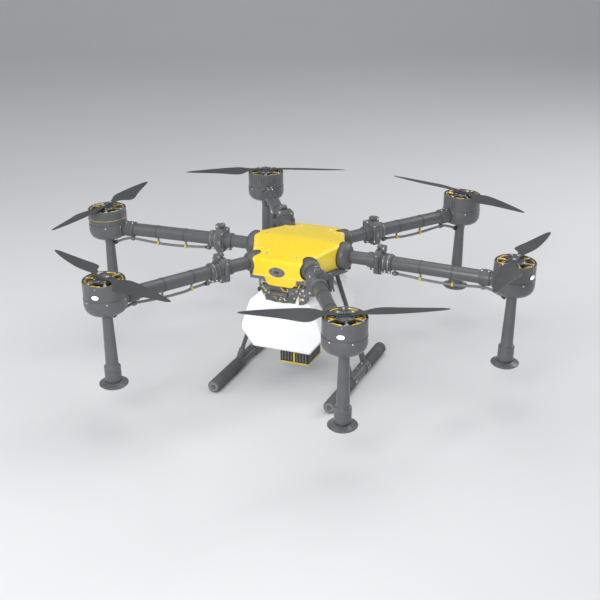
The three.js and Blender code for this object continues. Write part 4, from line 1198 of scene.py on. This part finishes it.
    # gold arcs let into the rim, between the spokes
    for k in range(6):
        pts = []
        for t in range(9):
            a = math.radians(60 * k - 15 + 30 * t / 8)
            pts.append((64.6 * math.cos(a), 64.6 * math.sin(a), 75.4))
        B.sweep(pts, 2.4, "gold", 12, turn)
    for k in range(6):
        rot = turn @ Matrix.Rotation(math.pi / 3 * (k + 0.5), 4, "Z")
        B.prism([(24, -7.5), (44, -4.4), (60, -6.5), (67.2, -9), (67.2, 9), (60, 6.5), (44, 4.4), (24, 7.5)], 70.5, 78.2, "metal", 1.6, 2, rot)
        B.bolt((62.5, 0, 78.0), (0, 0, 1), "steel", 3.2, 2.0, rot)
        B.prism([(36, -2.2), (58, -3.4), (58, 3.4), (36, 2.2)], 76.5, 79.4, "gold" if k % 2 else "metal", 0.9, 2, rot)
    B.lathe(rounded([(0, 67.5), (33, 67.5), (36.5, 70), (36.5, 77.5), (31, 81.6), (14, 84.2), (0, 84.2)], [1, 1.5, 2, 3, 2]), "metal", 56)
    for k in range(8):
        a = 2 * math.pi * (k + 0.5) / 8
        B.bolt((30 * math.cos(a), 30 * math.sin(a), 80.8), (0, 0, 1), "steel", 2.4, 1.4, turn)
    bar = [(-33, -7), (-29, -10), (29, -10), (33, -7), (33, 7), (29, 10), (-29, 10), (-33, 7)]
    B.prism(bar, 83.0, 85.6, "dark", 0.9, 2, turn)
    B.prism(bar, 90.8, 94.0, "dark", 1.1, 2, turn)
    B.lathe(rounded([(0, 84), (8.6, 84), (8.6, 96.0), (6.5, 96.8), (0, 96.8)], [0.4, 1, 0.5]), "metal", 32)
    for q in (-1, 1):
        B.lathe([(0, 84), (4.0, 84), (4.0, 92), (0, 92)], "steel", 24, turn @ Matrix.Translation((24 * q, 0, 0)))
        B.bolt((24 * q, 0, 94.0), (0, 0, 1), "steel", 4.4, 2.6, turn)
    B.object("bell_" + name, "rotor_" + name, ["rotor_" + name], "motor_metal", pod)
    for i in (1, 2):
        build_blade(name, i, piv[i - 1], Vector(sp["axis"]).normalized())


def hose_points(PS):
    return [(PS + 48, 0, -41), (PS + 74, 0, -42), (PS + 122, 0, -46), (500, 0, -51), (560, 0, -53), (630, 0, -51), (680, 0, -48), (712, 0, -47), (742, 0, -54), (770, 0, -66), (787, 0, -74)]


UPPER = [(-11, 2), (-5, 9), (2, 11.5), (10, 12), (26, 12.2), (42, 16.5), (58, 28), (72, 40.5), (84, 48.2), (96, 51.6), (110, 51.0), (130, 46.8), (160, 37.6), (195, 30.3), (230, 23.8), (262, 17.8), (290, 12.6), (305, 8.6), (313, 4.8), (316.4, 0.6)]
LOWER = [(-11, -2), (-5, -9), (2, -11.5), (10, -12), (32, -12.4), (44, -15.5), (56, -19.8), (70, -24.6), (84, -27.8), (104, -29.2), (130, -28.9), (170, -26.2), (210, -22.7), (250, -17.2), (285, -11.6), (302, -8), (312, -4), (316.4, -0.6)]


def build_blade(name, i, pivot, axis):
    node = f"blade_{i}_{name}"
    d, L, hand = blade_dir(node, pivot, axis)
    Y = axis.cross(d)
    m = Matrix(((d.x, Y.x, axis.x, pivot.x), (d.y, Y.y, axis.y, pivot.y), (d.z, Y.z, axis.z, pivot.z), (0, 0, 0, 1)))
    xs = list(np.concatenate([np.linspace(-11, 12, 9), np.linspace(16, 80, 15), np.linspace(86, 290, 26), np.array([297, 303, 308, 311.5, 314, 315.6, 316.4])]))
    up = np.interp(xs, [p[0] for p in UPPER], [p[1] for p in UPPER])
    dn = np.interp(xs, [p[0] for p in LOWER], [p[1] for p in LOWER])
    ker = np.array([0.25, 0.5, 0.25])
    for _ in range(2):
        up[1:-1] = np.convolve(up, ker, "valid")
        dn[1:-1] = np.convolve(dn, ker, "valid")
    n = 14
    verts, faces, uvs = [], [], []

    def ss(a, b, x):
        t = max(0.0, min(1.0, (x - a) / (b - a)))
        return t * t * (3 - 2 * t)
    for x, a, b in zip(xs, up, dn):
        root = 1 - ss(14, 60, x)
        th = 3.5 * root + (1 - root) * (3.4 - 1.9 * max(0, (x - 60) / 257))
        pitch = math.radians(9 * ss(14, 90, x) - 5 * max(0.0, min(1.0, (x - 90) / 230)))
        lift = -1.5 * max(0.0, min(1.0, (x - 40) / 277))
        for side in (0, 1):
            for k in range(n):
                # from the wide edge to the other one over the top, and back below
                t = k / n if side == 0 else 1 - k / n
                u = 0.5 - 0.5 * math.cos(math.pi * t)
                y = a + (b - a) * u
                prof = math.sqrt(max(0.0, 1 - (2 * u - 1) ** 2))
                flat = min(1.0, prof * 2.6)
                h = th / 2 * (root * flat + (1 - root) * (0.30 * flat + 0.70 * prof))
                z = (h if side == 0 else -h * (1 if root > 0.5 else 0.8)) - y * math.tan(pitch) + lift
                verts.append((x, y * hand, z))
    q = 2 * n
    for s in range(len(xs) - 1):
        for k in range(q):
            j = (k + 1) % q
            f = [s * q + k, s * q + j, (s + 1) * q + j, (s + 1) * q + k]
            faces.append(f)
            uvs.append([(verts[v][0] * MM, verts[v][1] * MM) for v in f])
    for f in ([k for k in range(q)], [(len(xs) - 1) * q + k for k in reversed(range(q))]):
        faces.append(f)
        uvs.append([(0, 0)] * q)
    ob = temp("blade_raw", verts, faces)
    bm = bmesh.new()
    bm.from_mesh(ob.data)
    bmesh.ops.recalc_face_normals(bm, faces=bm.faces)
    vv = [tuple(v.co) for v in bm.verts]
    ff = [[v.index for v in f.verts] for f in bm.faces]
    bm.free()
    bpy.data.objects.remove(ob)
    P = Part()
    P.add(vv, ff, "blade", True, [[(vv[k][0] * MM, vv[k][1] * MM) for k in f] for f in ff])
    # bush round the pivot
    P.lathe([(4.8, -2.4), (8.4, -2.4), (8.4, 2.4), (4.8, 2.4), (4.8, -2.4)], "metal", 28)
    P.object("prop_%d_%s" % (i, name), node.replace("blade_", "blade_"), [node], "blade", m, 40)


def keep_cad(node, mat, bevel=1.2):
    o = NODES[node]
    o.data.materials.clear()
    o.data.materials.append(MAT[mat])
    b = o.modifiers.new("edges", "BEVEL")
    b.width = bevel * MM
    b.segments = 2
    b.limit_method = "ANGLE"
    b.angle_limit = math.radians(40)


build_canopy()
build_tank()
build_cap()
build_battery()
build_wiring()
build_pump()
build_legs()
for arm in ARMS:
    build_arm(arm)
keep_cad("centre_frame", "dark", 1.5)
keep_cad("flight_controller", "black", 1.5)


# ------------------------------------------------------------------ stage
def stage():
    bm = bmesh.new()
    z = CAD_LO.z
    # a floor that curves up into a far wall
    prof = [(-14, 0.0), (6, 0.0)]
    for k in range(1, 13):
        a = math.pi / 2 * k / 12
        prof.append((6 + 4 * math.sin(a), 4 - 4 * math.cos(a)))
    prof.append((10, 14))
    rows = []
    for y, h in prof:
        rows.append([bm.verts.new((x, y, h + z - 0.0002)) for x in (-26, 26)])
    for a, b in zip(rows, rows[1:]):
        bm.faces.new((a[0], a[1], b[1], b[0]))
    me = bpy.data.meshes.new("floor")
    bm.to_mesh(me)
    bm.free()
    ob = bpy.data.objects.new("floor", me)
    COLL.objects.link(ob)
    ob.rotation_euler = (0, 0, CAM_AZ)
    for p in me.polygons:
        p.use_smooth = True
    m = NT("studio_floor")
    base = m.mix(m.ramp(m.noise(0.6, 3), [(0.3, 0.0), (0.7, 1.0)]), (0.66, 0.665, 0.67), (0.68, 0.685, 0.69))
    m.set(Base_Color=base, Roughness=m.ramp(m.noise(3, 3), [(0.3, 0.75), (0.7, 0.85)]))
    me.materials.append(m.mat)

    def area(name, loc, aim, size, power, col=(1, 1, 1)):
        d = bpy.data.lights.new(name, "AREA")
        d.shape = "RECTANGLE"
        d.size, d.size_y = size
        d.energy = power
        d.color = col
        o = bpy.data.objects.new(name, d)
        COLL.objects.link(o)
        o.location = loc
        o.rotation_mode = "QUATERNION"
        o.rotation_quaternion = (Vector(loc) - Vector(aim)).to_track_quat("Z", "Y")
    c = (0, 0, 0.45)
    area("key", (0.6, -4.6, 2.6), c, (2.6, 2.0), 165)
    area("fill", (-3.6, -2.2, 2.4), c, (2.4, 2.4), 48)
    area("top", (0.2, 0.4, 4.2), c, (3.4, 3.4), 62)
    area("rim", (2.6, 3.4, 2.8), c, (2.0, 2.0), 70)
    w = bpy.data.worlds.new("studio")
    SCENE.world = w
    w.use_nodes = True
    w.node_tree.nodes["Background"].inputs[0].default_value = (0.92, 0.94, 1.0, 1)
    w.node_tree.nodes["Background"].inputs[1].default_value = 0.42


SCENE.view_settings.view_transform = "Standard"
SCENE.view_settings.look = "None"
stage()
